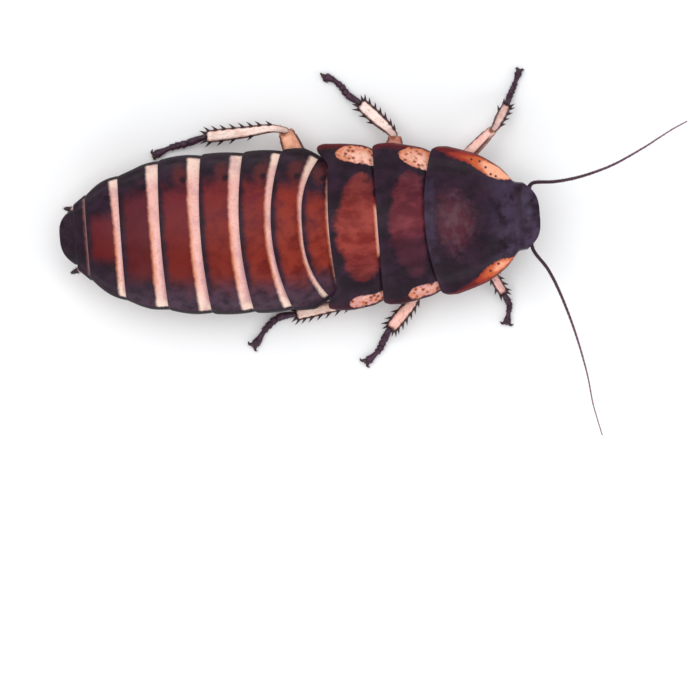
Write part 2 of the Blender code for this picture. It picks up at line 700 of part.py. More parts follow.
def stand_on_origin():
    """Hangs every piece on an empty, which puts the middle of the whole box over the origin."""
    bpy.context.view_layer.update()
    corners = [obj.matrix_world @ Vector(corner) for obj in insect.objects for corner in obj.bound_box]
    low = Vector([min(corner[axis] for corner in corners) for axis in range(3)])
    high = Vector([max(corner[axis] for corner in corners) for axis in range(3)])
    stance = bpy.data.objects.new("stance", None)
    stance.location = (-(low.x + high.x) / 2, -(low.y + high.y) / 2, -low.z)
    for obj in list(insect.objects) + list(helpers.objects):
        obj.parent = stance
    insect.objects.link(stance)


for old in list(bpy.data.objects):
    bpy.data.objects.remove(old)
insect = bpy.data.collections.new("hissing_cockroach")
helpers = bpy.data.collections.new("cutters")
for collection in (insect, helpers):
    bpy.context.scene.collection.children.link(collection)

add_back()
add_belly()
add_legs()
add_head()
add_feelers()
add_cerci()
stand_on_origin()
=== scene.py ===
import math

import bmesh
import bpy
import numpy as np
from mathutils import Matrix, Vector
from mathutils.kdtree import KDTree


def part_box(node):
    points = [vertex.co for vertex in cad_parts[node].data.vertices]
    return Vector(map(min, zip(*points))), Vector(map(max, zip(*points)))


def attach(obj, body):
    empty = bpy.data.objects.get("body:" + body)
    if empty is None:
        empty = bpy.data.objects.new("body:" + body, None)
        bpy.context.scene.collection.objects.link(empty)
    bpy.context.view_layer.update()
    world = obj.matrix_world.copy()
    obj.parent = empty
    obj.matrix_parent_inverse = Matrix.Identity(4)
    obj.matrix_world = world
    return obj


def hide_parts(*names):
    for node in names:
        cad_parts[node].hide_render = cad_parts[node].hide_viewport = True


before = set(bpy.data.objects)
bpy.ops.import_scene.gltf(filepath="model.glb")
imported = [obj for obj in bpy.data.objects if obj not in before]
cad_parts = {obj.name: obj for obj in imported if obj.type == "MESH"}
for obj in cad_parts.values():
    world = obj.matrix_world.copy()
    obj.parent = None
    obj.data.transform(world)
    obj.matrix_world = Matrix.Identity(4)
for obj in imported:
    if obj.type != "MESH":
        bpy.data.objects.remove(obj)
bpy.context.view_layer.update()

# Table, camera and lights
# The model stands on a plain white table and is seen from straight above through a long lens,
# under one broad soft lamp and two weak ones. Sizes here and below are millimetres, and MM
# turns them into the frame's metres.
MM = 0.001
HOOD_FRONT = 16.0
body_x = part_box("pronotum")[1].x / MM - HOOD_FRONT
body_y = (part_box("metanotum")[0].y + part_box("metanotum")[1].y) / 2 / MM
VIEW_WIDTH = 46.8
VIEW_HEIGHT = 900.0
VIEW_PLACE = (2.73, -8.28)
VIEW_TURN = math.radians(-4.3)
SENSOR_WIDTH = 36.0
TABLE_WIDTH = 3000.0
TABLE_WHITE = (0.9, 0.9, 0.9, 1.0)
TABLE_ROUGHNESS = 0.9
ROOM_WHITE = (0.95, 0.97, 1.0, 1.0)
ROOM_STRENGTH = 0.66
# Place, width and power of each lamp.
LAMPS = {
    "broad_lamp": ((-40.0, 70.0, 360.0), 400.0, 0.88),
    "front_lamp": ((260.0, -120.0, 180.0), 120.0, 0.12),
    "low_lamp": ((-100.0, -260.0, 140.0), 160.0, 0.16),
}


def on_body(points):
    """Points given in millimetres from the body's own middle, in the frame's metres."""
    return (np.asarray(points, float) + (body_x, body_y, 0.0)) * MM


scene = bpy.context.scene
scene.view_settings.view_transform = "Standard"
camera = bpy.data.objects.new("camera", bpy.data.cameras.new("camera"))
scene.collection.objects.link(camera)
camera.data.sensor_width = SENSOR_WIDTH
camera.data.lens = SENSOR_WIDTH * VIEW_HEIGHT / VIEW_WIDTH
camera.location = on_body((*VIEW_PLACE, VIEW_HEIGHT))
camera.rotation_euler = (0.0, 0.0, VIEW_TURN)
scene.camera = camera

table_mesh = bpy.data.meshes.new("table")
table_bm = bmesh.new()
bmesh.ops.create_grid(table_bm, x_segments=8, y_segments=8, size=TABLE_WIDTH / 2 * MM)
table_bm.to_mesh(table_mesh)
table_bm.free()
table = bpy.data.objects.new("table", table_mesh)
scene.collection.objects.link(table)
table_paint = bpy.data.materials.new("table_paint")
table_paint.use_nodes = True
table_paint.node_tree.nodes["Principled BSDF"].inputs["Base Color"].default_value = TABLE_WHITE
table_paint.node_tree.nodes["Principled BSDF"].inputs["Roughness"].default_value = TABLE_ROUGHNESS
table_mesh.materials.append(table_paint)

scene.world = bpy.data.worlds.new("room")
scene.world.use_nodes = True
room = scene.world.node_tree.nodes["Background"]
room.inputs["Color"].default_value = ROOM_WHITE
room.inputs["Strength"].default_value = ROOM_STRENGTH
for lamp_name, (lamp_place, lamp_width, lamp_power) in LAMPS.items():
    light = bpy.data.lights.new(lamp_name, "AREA")
    light.size = lamp_width * MM
    light.energy = lamp_power
    lamp = bpy.data.objects.new(lamp_name, light)
    lamp.location = Vector(lamp_place) * MM
    lamp.rotation_euler = (-Vector(lamp_place)).to_track_quat("-Z", "Y").to_euler()
    scene.collection.objects.link(lamp)

# Pronotum
# The shield over the head: one hard domed plate of dark shell, hooded in front over the hanging
# head, with thin flanges at its sides that show cream where the shell is clear. It is cast in one
# piece, with a furrow behind the hood's rim and a rolled edge all round.
BACK_HEIGHTS = [
    (-16.0, 3.2), (-15.0, 4.05), (-14.0, 4.7), (-12.0, 5.45), (-9.0, 6.15), (-6.0, 6.5), (-2.0, 6.7),
    (2.0, 6.65), (5.0, 6.5), (8.0, 6.45), (10.0, 6.6), (12.0, 6.25), (13.5, 5.5), (14.6, 4.95),
    (15.3, 5.05), (16.0, 4.7),
]
MARGIN_HEIGHTS = [
    (-16.0, 2.6), (-14.0, 2.85), (-10.0, 3.0), (8.0, 3.0), (12.0, 3.15), (14.0, 3.65), (15.2, 3.95),
]
MARGIN_THICKNESS = 0.3
TAIL_SWING = 0.0034
TAIL_RETURN = 0.19
THORAX_SHIFT = 0.075
PRONOTUM_YAW = -0.018
PRONOTUM_YAW_X = 5.5
LIP_RISE = 0.1
PLATE_COLUMNS = 144
LIP_STEPS = 6
TOP_STEPS = 34
TUCK_STEPS = 5
PRONOTUM_PLAN = [
    (9.15, 4.88), (9.4, 4.96), (9.9, 4.95), (10.4, 4.83), (11.3, 4.55), (12.0, 4.3), (13.0, 3.72),
    (13.5, 3.35), (14.0, 2.83), (14.35, 2.38), (14.6, 2.28), (15.0, 2.24), (15.15, 2.1),
]
PRONOTUM_REAR = (8.30, 0.85, 0.0)
HOOD_CORNER_BACK = 0.85
HOOD_BLUNTNESS = 3.5
# Furrow, rim and paired humps and pits: height, place and reach along the body, then across it.
SHIELD_RELIEF = [
    (-0.1, 14.55, 0.55, 0.0, 0.95), (0.1, 15.35, 0.6, 0.0, 1.0), (0.14, 12.6, 1.5, 0.3, 0.3),
    (-0.1, 10.9, 0.8, 0.24, 0.13), (-0.07, 9.9, 0.6, 0.36, 0.16),
]
# Width of the clear strip along each side, and how clear it is, by the place along the body.
STRIP_LEFT = [
    (8.9, -0.1), (9.3, 0.12), (9.7, 0.34), (10.47, 0.66), (11.5, 0.74), (12.24, 1.08), (12.99, 1.18),
    (13.6, 0.98), (14.0, 0.7), (14.36, 0.06), (14.6, -0.3),
]
STRIP_RIGHT = [
    (9.2, -0.2), (10.2, 0.17), (11.0, 0.36), (11.58, 0.58), (12.29, 0.96), (13.12, 0.95), (13.7, 0.6),
    (14.07, 0.3), (14.4, -0.2),
]
STRIP_CLEARNESS = [(9.2, 0.0), (10.3, 0.7), (11.3, 1.35), (12.3, 2.25), (13.1, 3.2), (14.4, 2.9)]
STRIP_DOTS = [
    (11.74, 3.77), (12.27, 3.6), (12.64, 3.17), (12.94, 2.68), (13.26, 2.52), (12.62, -3.26),
    (13.02, -3.29), (12.45, -3.72),
]
SHELL_BLACK = (0.012, 0.004, 0.01)
SHELL_PURPLE = (0.03, 0.01, 0.025)
# Slate-blue painted sheen, standing for the sky reflected in the shield.
SLATE_SHEEN = (0.064, 0.042, 0.082)
SHELL_BROWN = (0.085, 0.016, 0.028)
SHELL_MAUVE = (0.115, 0.05, 0.068)
RIM_RED = (0.12, 0.01, 0.012)
STRIP_RED = (0.33, 0.034, 0.02)
STRIP_ORANGE = (0.56, 0.11, 0.035)
STRIP_CREAM = (0.95, 0.43, 0.27)
DOT_BROWN = (0.11, 0.024, 0.018)
# Gloss of the back's shell: roughness, mirror share, clear coat and the coat's roughness.
SHELL_GLOSS = (0.4, 0.13, 0.025, 0.25)


def smooth_curve(pairs):
    """A curve through (place, value) pairs that never overshoots them, as a function."""
    places, values = np.array(pairs, float).T
    spans = np.diff(places)
    rises = np.diff(values) / spans
    slopes = np.concatenate([rises[:1], np.zeros(len(rises) - 1), rises[-1:]])
    same_way = rises[:-1] * rises[1:] > 0
    steep, next_steep = rises[:-1][same_way], rises[1:][same_way]
    slopes[1:-1][same_way] = 2 * steep * next_steep / (steep + next_steep)

    def value_at(x):
        x = np.clip(x, places[0], places[-1])
        i = np.clip(np.searchsorted(places, x, side="right") - 1, 0, len(spans) - 1)
        t = (x - places[i]) / spans[i]
        return (
            (1 + 2 * t) * (1 - t) ** 2 * values[i] + t * (1 - t) ** 2 * spans[i] * slopes[i]
            + t * t * (3 - 2 * t) * values[i + 1] + t * t * (t - 1) * spans[i] * slopes[i + 1]
        )

    return value_at


def smooth_step(low, high, x):
    t = np.clip((x - low) / (high - low), 0.0, 1.0)
    return t * t * (3 - 2 * t)


def blend(a, b, t):
    return a + (b - a) * t


def hump(middle, half_width, x):
    """A smooth bump of height 1 at middle, which ends half_width away."""
    return 1 - smooth_step(0.0, half_width, np.abs(x - middle))


def swing(x):
    """How far the body's middle line lies to the left: the tail curves and the pronotum is turned."""
    tail = TAIL_SWING * np.minimum(0.0, x) ** 2 - TAIL_RETURN * smooth_step(8.8, 11.2, -x)
    front = PRONOTUM_YAW * np.maximum(0.0, x - PRONOTUM_YAW_X)
    return tail + front - THORAX_SHIFT * smooth_step(1.8, 3.0, x)


middle_height = smooth_curve(BACK_HEIGHTS)
margin_height = smooth_curve(MARGIN_HEIGHTS)


def back_height(x, u):
    """Height of the back at x, with u from -1 at the right margin to 1 at the left one."""
    u = np.minimum(1.0, np.abs(u))
    vault = (1 - u ** 2.2) ** 0.9
    flared = np.maximum(0.0, np.cos(np.pi * u / 2)) ** 1.3
    hood = (1 - u ** 3.2) ** 0.6
    arch = blend(vault, flared, 0.55 * smooth_step(-3.0, 3.0, x))
    margin = margin_height(x) + MARGIN_THICKNESS
    return margin + (middle_height(x) - margin) * blend(arch, hood, smooth_step(13.4, 14.5, x))


def rear_edge(sizes):
    """A plate's rear edge as a function of u: its middle, sweep, the corners' turn back and the curve."""
    middle, sweep, turn, power = (*sizes, 2.0)[:4]
    return lambda u: middle + sweep * np.abs(u) ** power - turn * smooth_step(0.72, 0.96, np.abs(u))


def grid_faces(rows, columns, closed_rows=False):
    """Quads over a grid of points laid out row by row, which closes round its rows or round its columns."""
    i, j = np.meshgrid(np.arange(rows - (not closed_rows)), np.arange(columns - closed_rows), indexing="ij")
    up, across = (i + 1) % rows, (j + 1) % columns
    corners = [i * columns + j, up * columns + j, up * columns + across, i * columns + across]
    return np.stack(corners, axis=-1).reshape(-1, 4)


def make_piece(name, shapes, weld=1e-8):
    """One smooth piece out of shapes, each its points in body millimetres, faces and named measures."""
    points, faces, measures, count = [], [], {}, 0
    for shape_points, shape_faces, shape_measures in shapes:
        points.append(shape_points)
        faces += (np.asarray(shape_faces) + count).tolist()
        for key, values in shape_measures.items():
            measures.setdefault(key, []).append((count, np.ravel(values)))
        count += len(shape_points)
    mesh = bpy.data.meshes.new(name)
    mesh.from_pydata(on_body(np.concatenate(points)).tolist(), [], faces)
    for key, stretches in measures.items():
        column = np.zeros(count, np.float32)
        for start, values in stretches:
            column[start:start + len(values)] = values
        mesh.attributes.new(key, "FLOAT", "POINT").data.foreach_set("value", column)
    bm = bmesh.new()
    bm.from_mesh(mesh)
    bmesh.ops.remove_doubles(bm, verts=bm.verts, dist=weld)
    bmesh.ops.recalc_face_normals(bm, faces=bm.faces)
    bm.to_mesh(mesh)
    bm.free()
    mesh.shade_smooth()
    piece = bpy.data.objects.new(name, mesh)
    scene.collection.objects.link(piece)
    return piece


def shell_plate(
    name, rear, ahead, reach, height, marks, up=1, thickness=0.24, lip=0.09, tuck=0.75, dip=0.16, corner=0.0,
):
    """A plate with a rounded rear lip, thin rounded side edges and its front tucked under the plate ahead."""
    u = np.sin(np.linspace(-np.pi / 2, np.pi / 2, PLATE_COLUMNS))
    length = float(ahead(0.0) - rear(0.0))
    arc = np.linspace(-np.pi / 2, np.pi / 2, LIP_STEPS + 1)
    lip_t = 0.5 * lip / length * (1 - np.cos(arc))
    top_t = blend(lip_t[-1], 1.0, (1 - np.cos(np.pi * np.linspace(0, 1, TOP_STEPS + 1)[1:])) / 2)
    tuck_t = 1 + tuck / length * np.linspace(0, 1, TUCK_STEPS + 1)[1:] if tuck else np.array([])
    over = np.concatenate([top_t, tuck_t])
    t = np.concatenate([lip_t, over, over[::-1]])[:, None]
    level = np.concatenate([0.5 + 0.5 * np.sin(arc), np.ones(len(over)), np.zeros(len(over))])[:, None]
    inward = np.minimum(t, 1.0)
    corner_u = corner / reach(rear(1.0), 0.0) + 1e-9
    turn = np.clip((np.abs(u) - 1 + corner_u) / corner_u, 0.0, 1.0)
    x = blend(rear(u) + corner * (1 - np.sqrt(1 - turn * turn)), ahead(u), t)
    half = reach(blend(rear(1.0), ahead(1.0), inward), inward)
    y = u * half + swing(x)
    full = blend(lip, thickness, smooth_step(0.0, 0.5, t * length))
    side = np.clip((np.abs(u) * half - half + 0.6 * thickness) / (0.6 * thickness), 0.0, 1.0)
    body = full * np.sqrt(np.maximum(0.0, 1 - side ** 2))
    tucked = dip * smooth_step(1.0, 1.0 + 0.6 * tuck / length, t) if tuck else 0.0
    from_side = (1 - np.abs(u)) * half
    z = height(x, u, inward, from_side) + up * ((level - 1) * body - 0.5 * (full - body) - tucked)
    measures = {"from_side": from_side, "from_rear": x - rear(u), "from_front": ahead(u) - x}
    measures.update(marks(x, y, u + 0 * x, from_side, measures))
    points = np.stack([x, y, z], axis=-1).reshape(-1, 3)
    return make_piece(name, [(points, grid_faces(len(t), PLATE_COLUMNS, closed_rows=True), measures)])


class Finish:
    """The finish of one kind of piece: a material, and short ways to lay one colour over another."""

    def __init__(self, name, base, roughness=0.4, specular=0.5, coat=0.0, coat_roughness=0.2):
        self.material = bpy.data.materials.new(name)
        self.material.use_nodes = True
        self.tree = self.material.node_tree
        self.sockets = self.tree.nodes["Principled BSDF"].inputs
        self.sockets["Roughness"].default_value = roughness
        self.sockets["Specular IOR Level"].default_value = specular
        self.sockets["Coat Weight"].default_value = coat
        self.sockets["Coat Roughness"].default_value = coat_roughness
        self.colour = base
        self.bump = None

    def put(self, socket, value):
        if isinstance(value, bpy.types.NodeSocket):
            self.tree.links.new(value, socket)
        elif isinstance(value, tuple) and socket.type == "RGBA":
            socket.default_value = (*value, 1.0)
        else:
            socket.default_value = value

    def node(self, kind, inputs, output=0, **settings):
        made = self.tree.nodes.new("ShaderNode" + kind)
        for key, value in settings.items():
            setattr(made, key, value)
        for key, value in inputs.items():
            self.put(made.inputs[key], value)
        return made.outputs[output]

    def measure(self, name):
        return self.node("Attribute", {}, "Fac", attribute_name=name)

    def place(self, stretch=(1.0, 1.0, 1.0)):
        """The surface point in millimetres, stretched."""
        point = self.node("TexCoord", {}, "Object")
        scale = tuple(s / MM for s in stretch)
        return self.node("VectorMath", {0: point, 1: scale}, operation="MULTIPLY")

    def grain(self, per_mm, detail=3.0, stretch=(1.0, 1.0, 1.0)):
        """Soft mottling from 0 to 1, with so many patches to a millimetre."""
        inputs = {"Vector": self.place(stretch), "Scale": per_mm, "Detail": detail, "Roughness": 0.55}
        return self.node("TexNoise", inputs)

    def pits(self, per_mm):
        """Distance to the nearest of many scattered points."""
        return self.node("TexVoronoi", {"Vector": self.place(), "Scale": per_mm}, "Distance")

    def clouds(self, per_mm, low=0.35, high=0.7, share=1.0, detail=4.0, stretch=(1.0, 1.0, 1.0)):
        """Soft-edged patches, up to a share of 1, where the mottling rises from low to high."""
        return self.product(self.step(self.grain(per_mm, detail, stretch), low, high), share)

    def ragged(self, name, per_mm, wander, detail=4.0):
        """A measure whose edges wander to and fro by so many millimetres."""
        return self.sum(self.measure(name), (self.grain(per_mm, detail), wander), -wander / 2)

    def edge(self, name, low, high, *raggedness):
        """Rises from 0 to 1 where a measure, ragged or not, goes from low to high."""
        return self.step(self.ragged(name, *raggedness) if raggedness else self.measure(name), low, high)

    def sum(self, *parts):
        """The parts added up, where a pair is a part and its weight."""
        total = 0.0
        for part in parts:
            value, weight = part if isinstance(part, tuple) else (part, 1.0)
            total = self.node("Math", {0: value, 1: weight, 2: total}, operation="MULTIPLY_ADD")
        return total

    def product(self, first, *others):
        for other in others:
            first = first if other == 1.0 else self.node("Math", {0: first, 1: other}, operation="MULTIPLY")
        return first

    def step(self, value, low, high):
        """0 below low and 1 above high, or the other way round where low is the larger."""
        turned = low > high
        inputs = {"Value": value, "From Min": min(low, high), "From Max": max(low, high)}
        inputs.update({"To Min": 1.0 * turned, "To Max": 1.0 * (not turned)})
        return self.node("MapRange", inputs, interpolation_type="SMOOTHSTEP")

    def along(self, axis, low, high):
        """Rises from 0 to 1 from low to high along the body, for X, or across it, for Y."""
        point = self.node("SeparateXYZ", {0: self.place()}, axis)
        return self.step(self.sum(point, {"X": -body_x, "Y": -body_y}[axis]), low, high)

    def tint(self, amount, below, above):
        """One colour over another."""
        return self.node("Mix", {0: amount, 6: below, 7: above}, 2, data_type="RGBA")

    def lay(self, colour, *amounts):
        """Lays a colour over what the finish has so far, by the amounts multiplied."""
        self.colour = self.tint(self.product(*amounts), self.colour, colour)
        self.put(self.sockets["Base Color"], self.colour)

    def raised(self, height, depth):
        """Adds fine relief of this depth in millimetres."""
        inputs = {"Height": height, "Distance": depth * MM, "Strength": 1.0}
        if self.bump:
            inputs["Normal"] = self.bump
        self.bump = self.node("Bump", inputs)
        self.put(self.sockets["Normal"], self.bump)

    def dress(self, piece, slot):
        piece.data.materials.append(self.material)
        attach(piece, "root")


def shell_relief(finish):
    """The fine skin of the shell: leathery grain, shallow pits and faint wrinkles across the body."""
    finish.raised(finish.grain(9.0, 4.0), 0.02)
    finish.raised(finish.grain(30.0, 2.0), 0.006)
    finish.raised(finish.step(finish.pits(5.5), 0.0, 0.16), 0.008)
    finish.raised(finish.grain(5.0, 3.0, (2.2, 0.35, 1.0)), 0.014)


def hood_rim(u):
    return HOOD_FRONT - HOOD_CORNER_BACK * np.abs(u) ** HOOD_BLUNTNESS


def pronotum_height(x, u, t, from_side):
    """The dome, with a furrow behind the hood's rim, low humps, pits on the disc and a rolled edge."""
    z = back_height(x, u) + LIP_RISE * (1 - t)
    for height, place, reach, side_place, side_reach in SHIELD_RELIEF:
        z = z + height * hump(place, reach, x) * hump(side_place, side_reach, np.abs(u))
    z = z - 0.07 * hump(0.0, 0.06, u) * smooth_step(9.2, 10.2, x) * smooth_step(12.8, 11.6, x)
    z = z - 0.13 * hump(0.75, 0.65, from_side) * smooth_step(14.4, 13.6, x)
    return z + 0.07 * hump(0.1, 0.2, from_side) + 0.04 * hump(0.0, 0.12, t)


def pronotum_marks(x, y, u, from_side, measures):
    strip = np.where(u > 0, smooth_curve(STRIP_LEFT)(x), smooth_curve(STRIP_RIGHT)(x)) - from_side
    clear = smooth_curve(STRIP_CLEARNESS)(x) - 0.55 * (u < 0)
    clear = clear - 0.8 * smooth_step(0.4, 0.05, from_side) - 0.5 * smooth_step(0.3, 0.0, strip)
    patch = 1 - np.hypot((x - 10.35) / 1.75, (u + 0.03) / 0.56)
    rear_sheen = np.minimum(1.0 - measures["from_rear"], 6.0 * (0.62 - np.abs(u)))
    return {"strip": strip, "clear": clear, "patch": patch, "rear_sheen": rear_sheen}


pronotum = shell_plate(
    "pronotum_shield", rear_edge(PRONOTUM_REAR), hood_rim, lambda x, t: smooth_curve(PRONOTUM_PLAN)(x),
    pronotum_height, pronotum_marks, thickness=0.42, lip=0.12, tuck=0.0, corner=0.22,
)
shell = Finish("pronotum_shell", SHELL_BLACK, *SHELL_GLOSS)
shell.lay(SHELL_PURPLE, shell.clouds(0.9, detail=5.0))
# Painted sheen: a slate-blue reflection along the middle of the rear edge.
shell.lay(SLATE_SHEEN, shell.edge("rear_sheen", 0.1, 0.6, 1.3, 0.5), shell.clouds(1.1, 0.3, 0.65, 0.5))
warm = shell.tint(shell.clouds(1.5, 0.4, 0.66, 0.8, 5.0, (1.2, 0.7, 1.0)), SHELL_BROWN, SHELL_MAUVE)
shell.lay(warm, shell.edge("patch", 0.0, 0.7, 2.2, 0.9), 0.85)
# Painted sheen: a slate-blue reflection over the front of the shield and the hood.
shell.lay(SLATE_SHEEN, shell.along("X", 11.8, 14.2), shell.clouds(1.3, 0.3, 0.65, 0.8))
# Painted shade: a black line in the furrow behind the hood's rim.
shell.lay(SHELL_BLACK, shell.along("X", 14.35, 14.7), shell.along("X", 15.0, 14.7), 0.6)
clear = shell.ragged("clear", 3.0, 0.9)
strip_colour = RIM_RED
for colour, low, high in ((STRIP_RED, 0.2, 0.9), (STRIP_ORANGE, 0.9, 1.8), (STRIP_CREAM, 1.9, 2.9)):
    strip_colour = shell.tint(shell.step(clear, low, high), strip_colour, colour)
strip_colour = shell.tint(shell.clouds(7.0, 0.5, 0.75, 0.35), strip_colour, STRIP_RED)
for dot in STRIP_DOTS:
    inputs = {0: shell.place((1.0, 1.0, 0.0)), 1: tuple(on_body((*dot, 0.0)) / MM)}
    reach = shell.node("VectorMath", inputs, "Value", operation="DISTANCE")
    strip_colour = shell.tint(shell.step(reach, 0.12, 0.05), strip_colour, DOT_BROWN)
shell.lay(strip_colour, shell.edge("strip", -0.07, 0.07, 4.0, 0.34))
shell.lay(RIM_RED, shell.edge("from_side", 0.15, 0.05, 3.0, 0.12), shell.along("X", 14.3, 13.9), 0.85)
shell_relief(shell)
shell.dress(pronotum, "dark_shell")
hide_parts("pronotum")

# Mesonotum and metanotum
# The two plates of the thorax behind the shield, wingless at this age. Each is one piece of shell,
# red-brown in the middle and near black round it, with a clear cream lobe at each side, and each
# laps over the plate behind it.
MESONOTUM_REAR = (5.17, 0.05, 0.0)
METANOTUM_REAR = (1.93, 0.50, 0.86)
THORAX_CORNER = 0.24
LOBE_TIP_MIDDLES = {"left": 0.72, "right": 0.42}
# Each plate's half widths along the body; the red-brown patch's rear and front outline and its
# strength, by the place across the body; the cream lobes' widths, by the place along it; the pale
# line's ends and width; and the patch's two colours.
THORAX_PLATES = {
    "mesonotum": {
        "plan": [(5.2, 5.3), (5.5, 5.38), (6.1, 5.4), (6.9, 5.28), (7.8, 5.1), (8.5, 4.93), (9.1, 4.64)],
        "rear": [
            (-4.2, 8.3), (-3.85, 7.4), (-3.3, 6.85), (-2.4, 6.27), (-1.06, 5.91), (0.5, 5.97), (1.95, 6.27),
            (2.85, 6.73), (3.3, 7.5), (3.6, 8.2),
        ],
        "front": [
            (-4.2, 6.9), (-3.85, 7.45), (-3.4, 8.1), (-1.7, 8.21), (1.5, 8.35), (2.75, 8.38), (3.3, 7.55),
            (3.6, 6.9),
        ],
        "strength": [(-3.9, 0.22), (-1.5, 0.26), (-0.6, 0.85), (0.5, 1.0), (1.3, 0.75), (3.2, 0.6)],
        "left": [(6.9, 0.95), (7.05, 1.2), (7.54, 1.4), (8.7, 1.29), (9.2, 1.25)],
        "right": [(6.9, 0.6), (7.1, 0.74), (7.72, 0.84), (8.93, 0.62), (9.2, 0.58)],
        "line": (0.0, 0.0, -1.0), "red": (0.1, 0.01, 0.018), "bright": (0.22, 0.036, 0.05),
    },
    "metanotum": {
        "plan": [(1.5, 5.48), (1.9, 5.56), (2.7, 5.57), (3.6, 5.49), (4.5, 5.35), (5.2, 5.08)],
        "rear": [
            (-4.3, 4.8), (-3.9, 3.9), (-3.65, 3.3), (-2.8, 2.93), (-1.75, 2.48), (0.1, 2.36), (1.2, 2.57),
            (2.45, 3.19), (3.2, 3.78), (3.5, 4.3), (3.9, 5.0),
        ],
        "front": [
            (-4.3, 3.2), (-3.9, 3.95), (-3.7, 4.5), (-2.9, 4.95), (-2.0, 5.4), (1.2, 5.4), (1.9, 4.98),
            (3.1, 4.85), (3.5, 4.35), (3.9, 3.6),
        ],
        "strength": [(-3.9, 0.55), (-2.6, 0.75), (-1.2, 1.0), (0.9, 1.0), (1.9, 0.72), (3.5, 0.6)],
        "left": [(2.72, 0.9), (2.9, 1.08), (3.2, 1.17), (4.0, 1.3), (5.2, 1.2)],
        "right": [(2.95, 0.55), (3.1, 0.66), (3.71, 0.8), (5.2, 0.62)],
        "line": (-2.15, 1.15, 0.17), "red": (0.17, 0.014, 0.011), "bright": (0.33, 0.052, 0.04),
    },
}
BAND_PINK = (0.88, 0.5, 0.45)
BAND_CREAM = (0.95, 0.7, 0.57)
BAND_MAUVE = (0.6, 0.31, 0.33)
BAND_ORANGE = (0.66, 0.24, 0.12)
SHELL_RED = (0.12, 0.005, 0.003)
LOBE_CREAM = (0.93, 0.54, 0.42)
LOBE_PINK = (0.84, 0.4, 0.32)
LOBE_ORANGE = (0.62, 0.2, 0.1)
LOBE_SPECK = (0.18, 0.045, 0.028)


def thorax_height(x, u, t, from_side):
    """A gently swollen plate with a raised rear lip, shallow hollows in pairs and a rolled side edge."""
    z = back_height(x, u) + LIP_RISE * (1 - t) + 0.09 * np.sin(np.pi * t) * (1 - u ** 2)
    z = z - 0.06 * hump(0.55, 0.3, t) * hump(0.3, 0.2, np.abs(u))
    z = z - 0.08 * hump(0.55, 0.4, t) * hump(0.66, 0.1, np.abs(u))
    return z + 0.05 * hump(0.1, 0.18, from_side) - 0.06 * smooth_step(0.93, 1.0, t)


def thorax_marks(sizes):
    """The red-brown patch, the cream lobes and the thin pale line along the front edge."""
    def measures_at(x, y, u, from_side, measures):
        patch = np.minimum(x - smooth_curve(sizes["rear"])(y), smooth_curve(sizes["front"])(y) - x)
        lobes, clears = [], []
        for key, side in (("left", 1), ("right", -1)):
            from_tip = x - sizes[key][0][0] - 2.2 * (from_side - LOBE_TIP_MIDDLES[key]) ** 2
            lobe = np.minimum(from_tip, smooth_curve(sizes[key])(x) - from_side)
            lobes.append(np.where(u * side > 0, np.minimum(lobe, from_side - 0.1), -9.0))
            clears.append(np.where(u * side > 0, np.minimum(from_tip, 1.2 * from_side), 0.0))
        low_y, high_y, width = sizes["line"]
        line = np.minimum(width - measures["from_front"], 0.4 * np.minimum(y - low_y, high_y - y))
        strength = smooth_curve(sizes["strength"])(y)
        lobe, clear = np.maximum(*lobes), np.maximum(*clears)
        return {"patch": patch, "strength": strength, "lobe": lobe, "clear": clear, "band": line}
    return measures_at


def thorax_finish(name, red, bright):
    shell = Finish(name, SHELL_BLACK, *SHELL_GLOSS)
    shell.lay(SHELL_PURPLE, shell.clouds(0.9, detail=5.0))
    warm = shell.tint(shell.clouds(0.9, 0.36, 0.66, 0.8, 5.0, (0.8, 1.3, 1.0)), red, bright)
    warm = shell.tint(shell.clouds(12.0, 0.5, 0.8, 0.35, 3.0, (0.5, 1.6, 1.0)), warm, SHELL_RED)
    patch = shell.sum(shell.ragged("patch", 0.9, 1.3), (shell.grain(3.5, 5.0), 0.5), -0.25)
    shell.lay(warm, shell.step(patch, -0.24, 0.34), shell.measure("strength"))
    right = shell.along("Y", 0.0, -2.0)
    shell.lay(RIM_RED, shell.edge("from_side", 0.5, 0.1, 3.0, 0.2), shell.sum((right, -0.6), 0.8))
    cream = shell.tint(shell.edge("clear", 0.1, 1.0, 2.5, 0.8), LOBE_ORANGE, LOBE_CREAM)
    cream = shell.tint(shell.clouds(2.6, 0.45, 0.7, 0.7), cream, LOBE_PINK)
    cream = shell.tint(shell.clouds(9.0, 0.52, 0.75, 0.6), cream, LOBE_ORANGE)
    cream = shell.tint(shell.product(shell.clouds(3.0, 0.3, 0.6, 0.8), right), cream, BAND_MAUVE)
    specks = shell.sum(shell.pits(2.9), (shell.grain(11.0, 4.0), 0.4))
    near_tip = shell.sum((shell.edge("clear", 1.5, 0.8), 0.55), 0.4)
    speckled = shell.product(near_tip, shell.clouds(1.3, 0.36, 0.5))
    for colour, low, high in ((LOBE_ORANGE, 0.86, 0.5), (LOBE_SPECK, 0.64, 0.38)):
        cream = shell.tint(shell.product(shell.step(specks, low, high), speckled), cream, colour)
    shell.lay(cream, shell.edge("lobe", -0.05, 0.07, 4.0, 0.3, 5.0))
    line = shell.ragged("band", 4.0, 0.1)
    shell.lay(shell.tint(shell.step(line, 0.02, 0.14), BAND_ORANGE, BAND_PINK), shell.step(line, -0.08, 0.06))
    shell_relief(shell)
    return shell


for node, rear, ahead in (
    ("mesonotum", MESONOTUM_REAR, PRONOTUM_REAR),
    ("metanotum", METANOTUM_REAR, MESONOTUM_REAR),
):
    sizes = THORAX_PLATES[node]
    plate = shell_plate(
        node + "_plate", rear_edge(rear), rear_edge(ahead), lambda x, t: smooth_curve(sizes["plan"])(x),
        thorax_height, thorax_marks(sizes), corner=THORAX_CORNER,
    )
    thorax_finish(node + "_shell", sizes["red"], sizes["bright"]).dress(plate, "banded_shell")
    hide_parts(node)

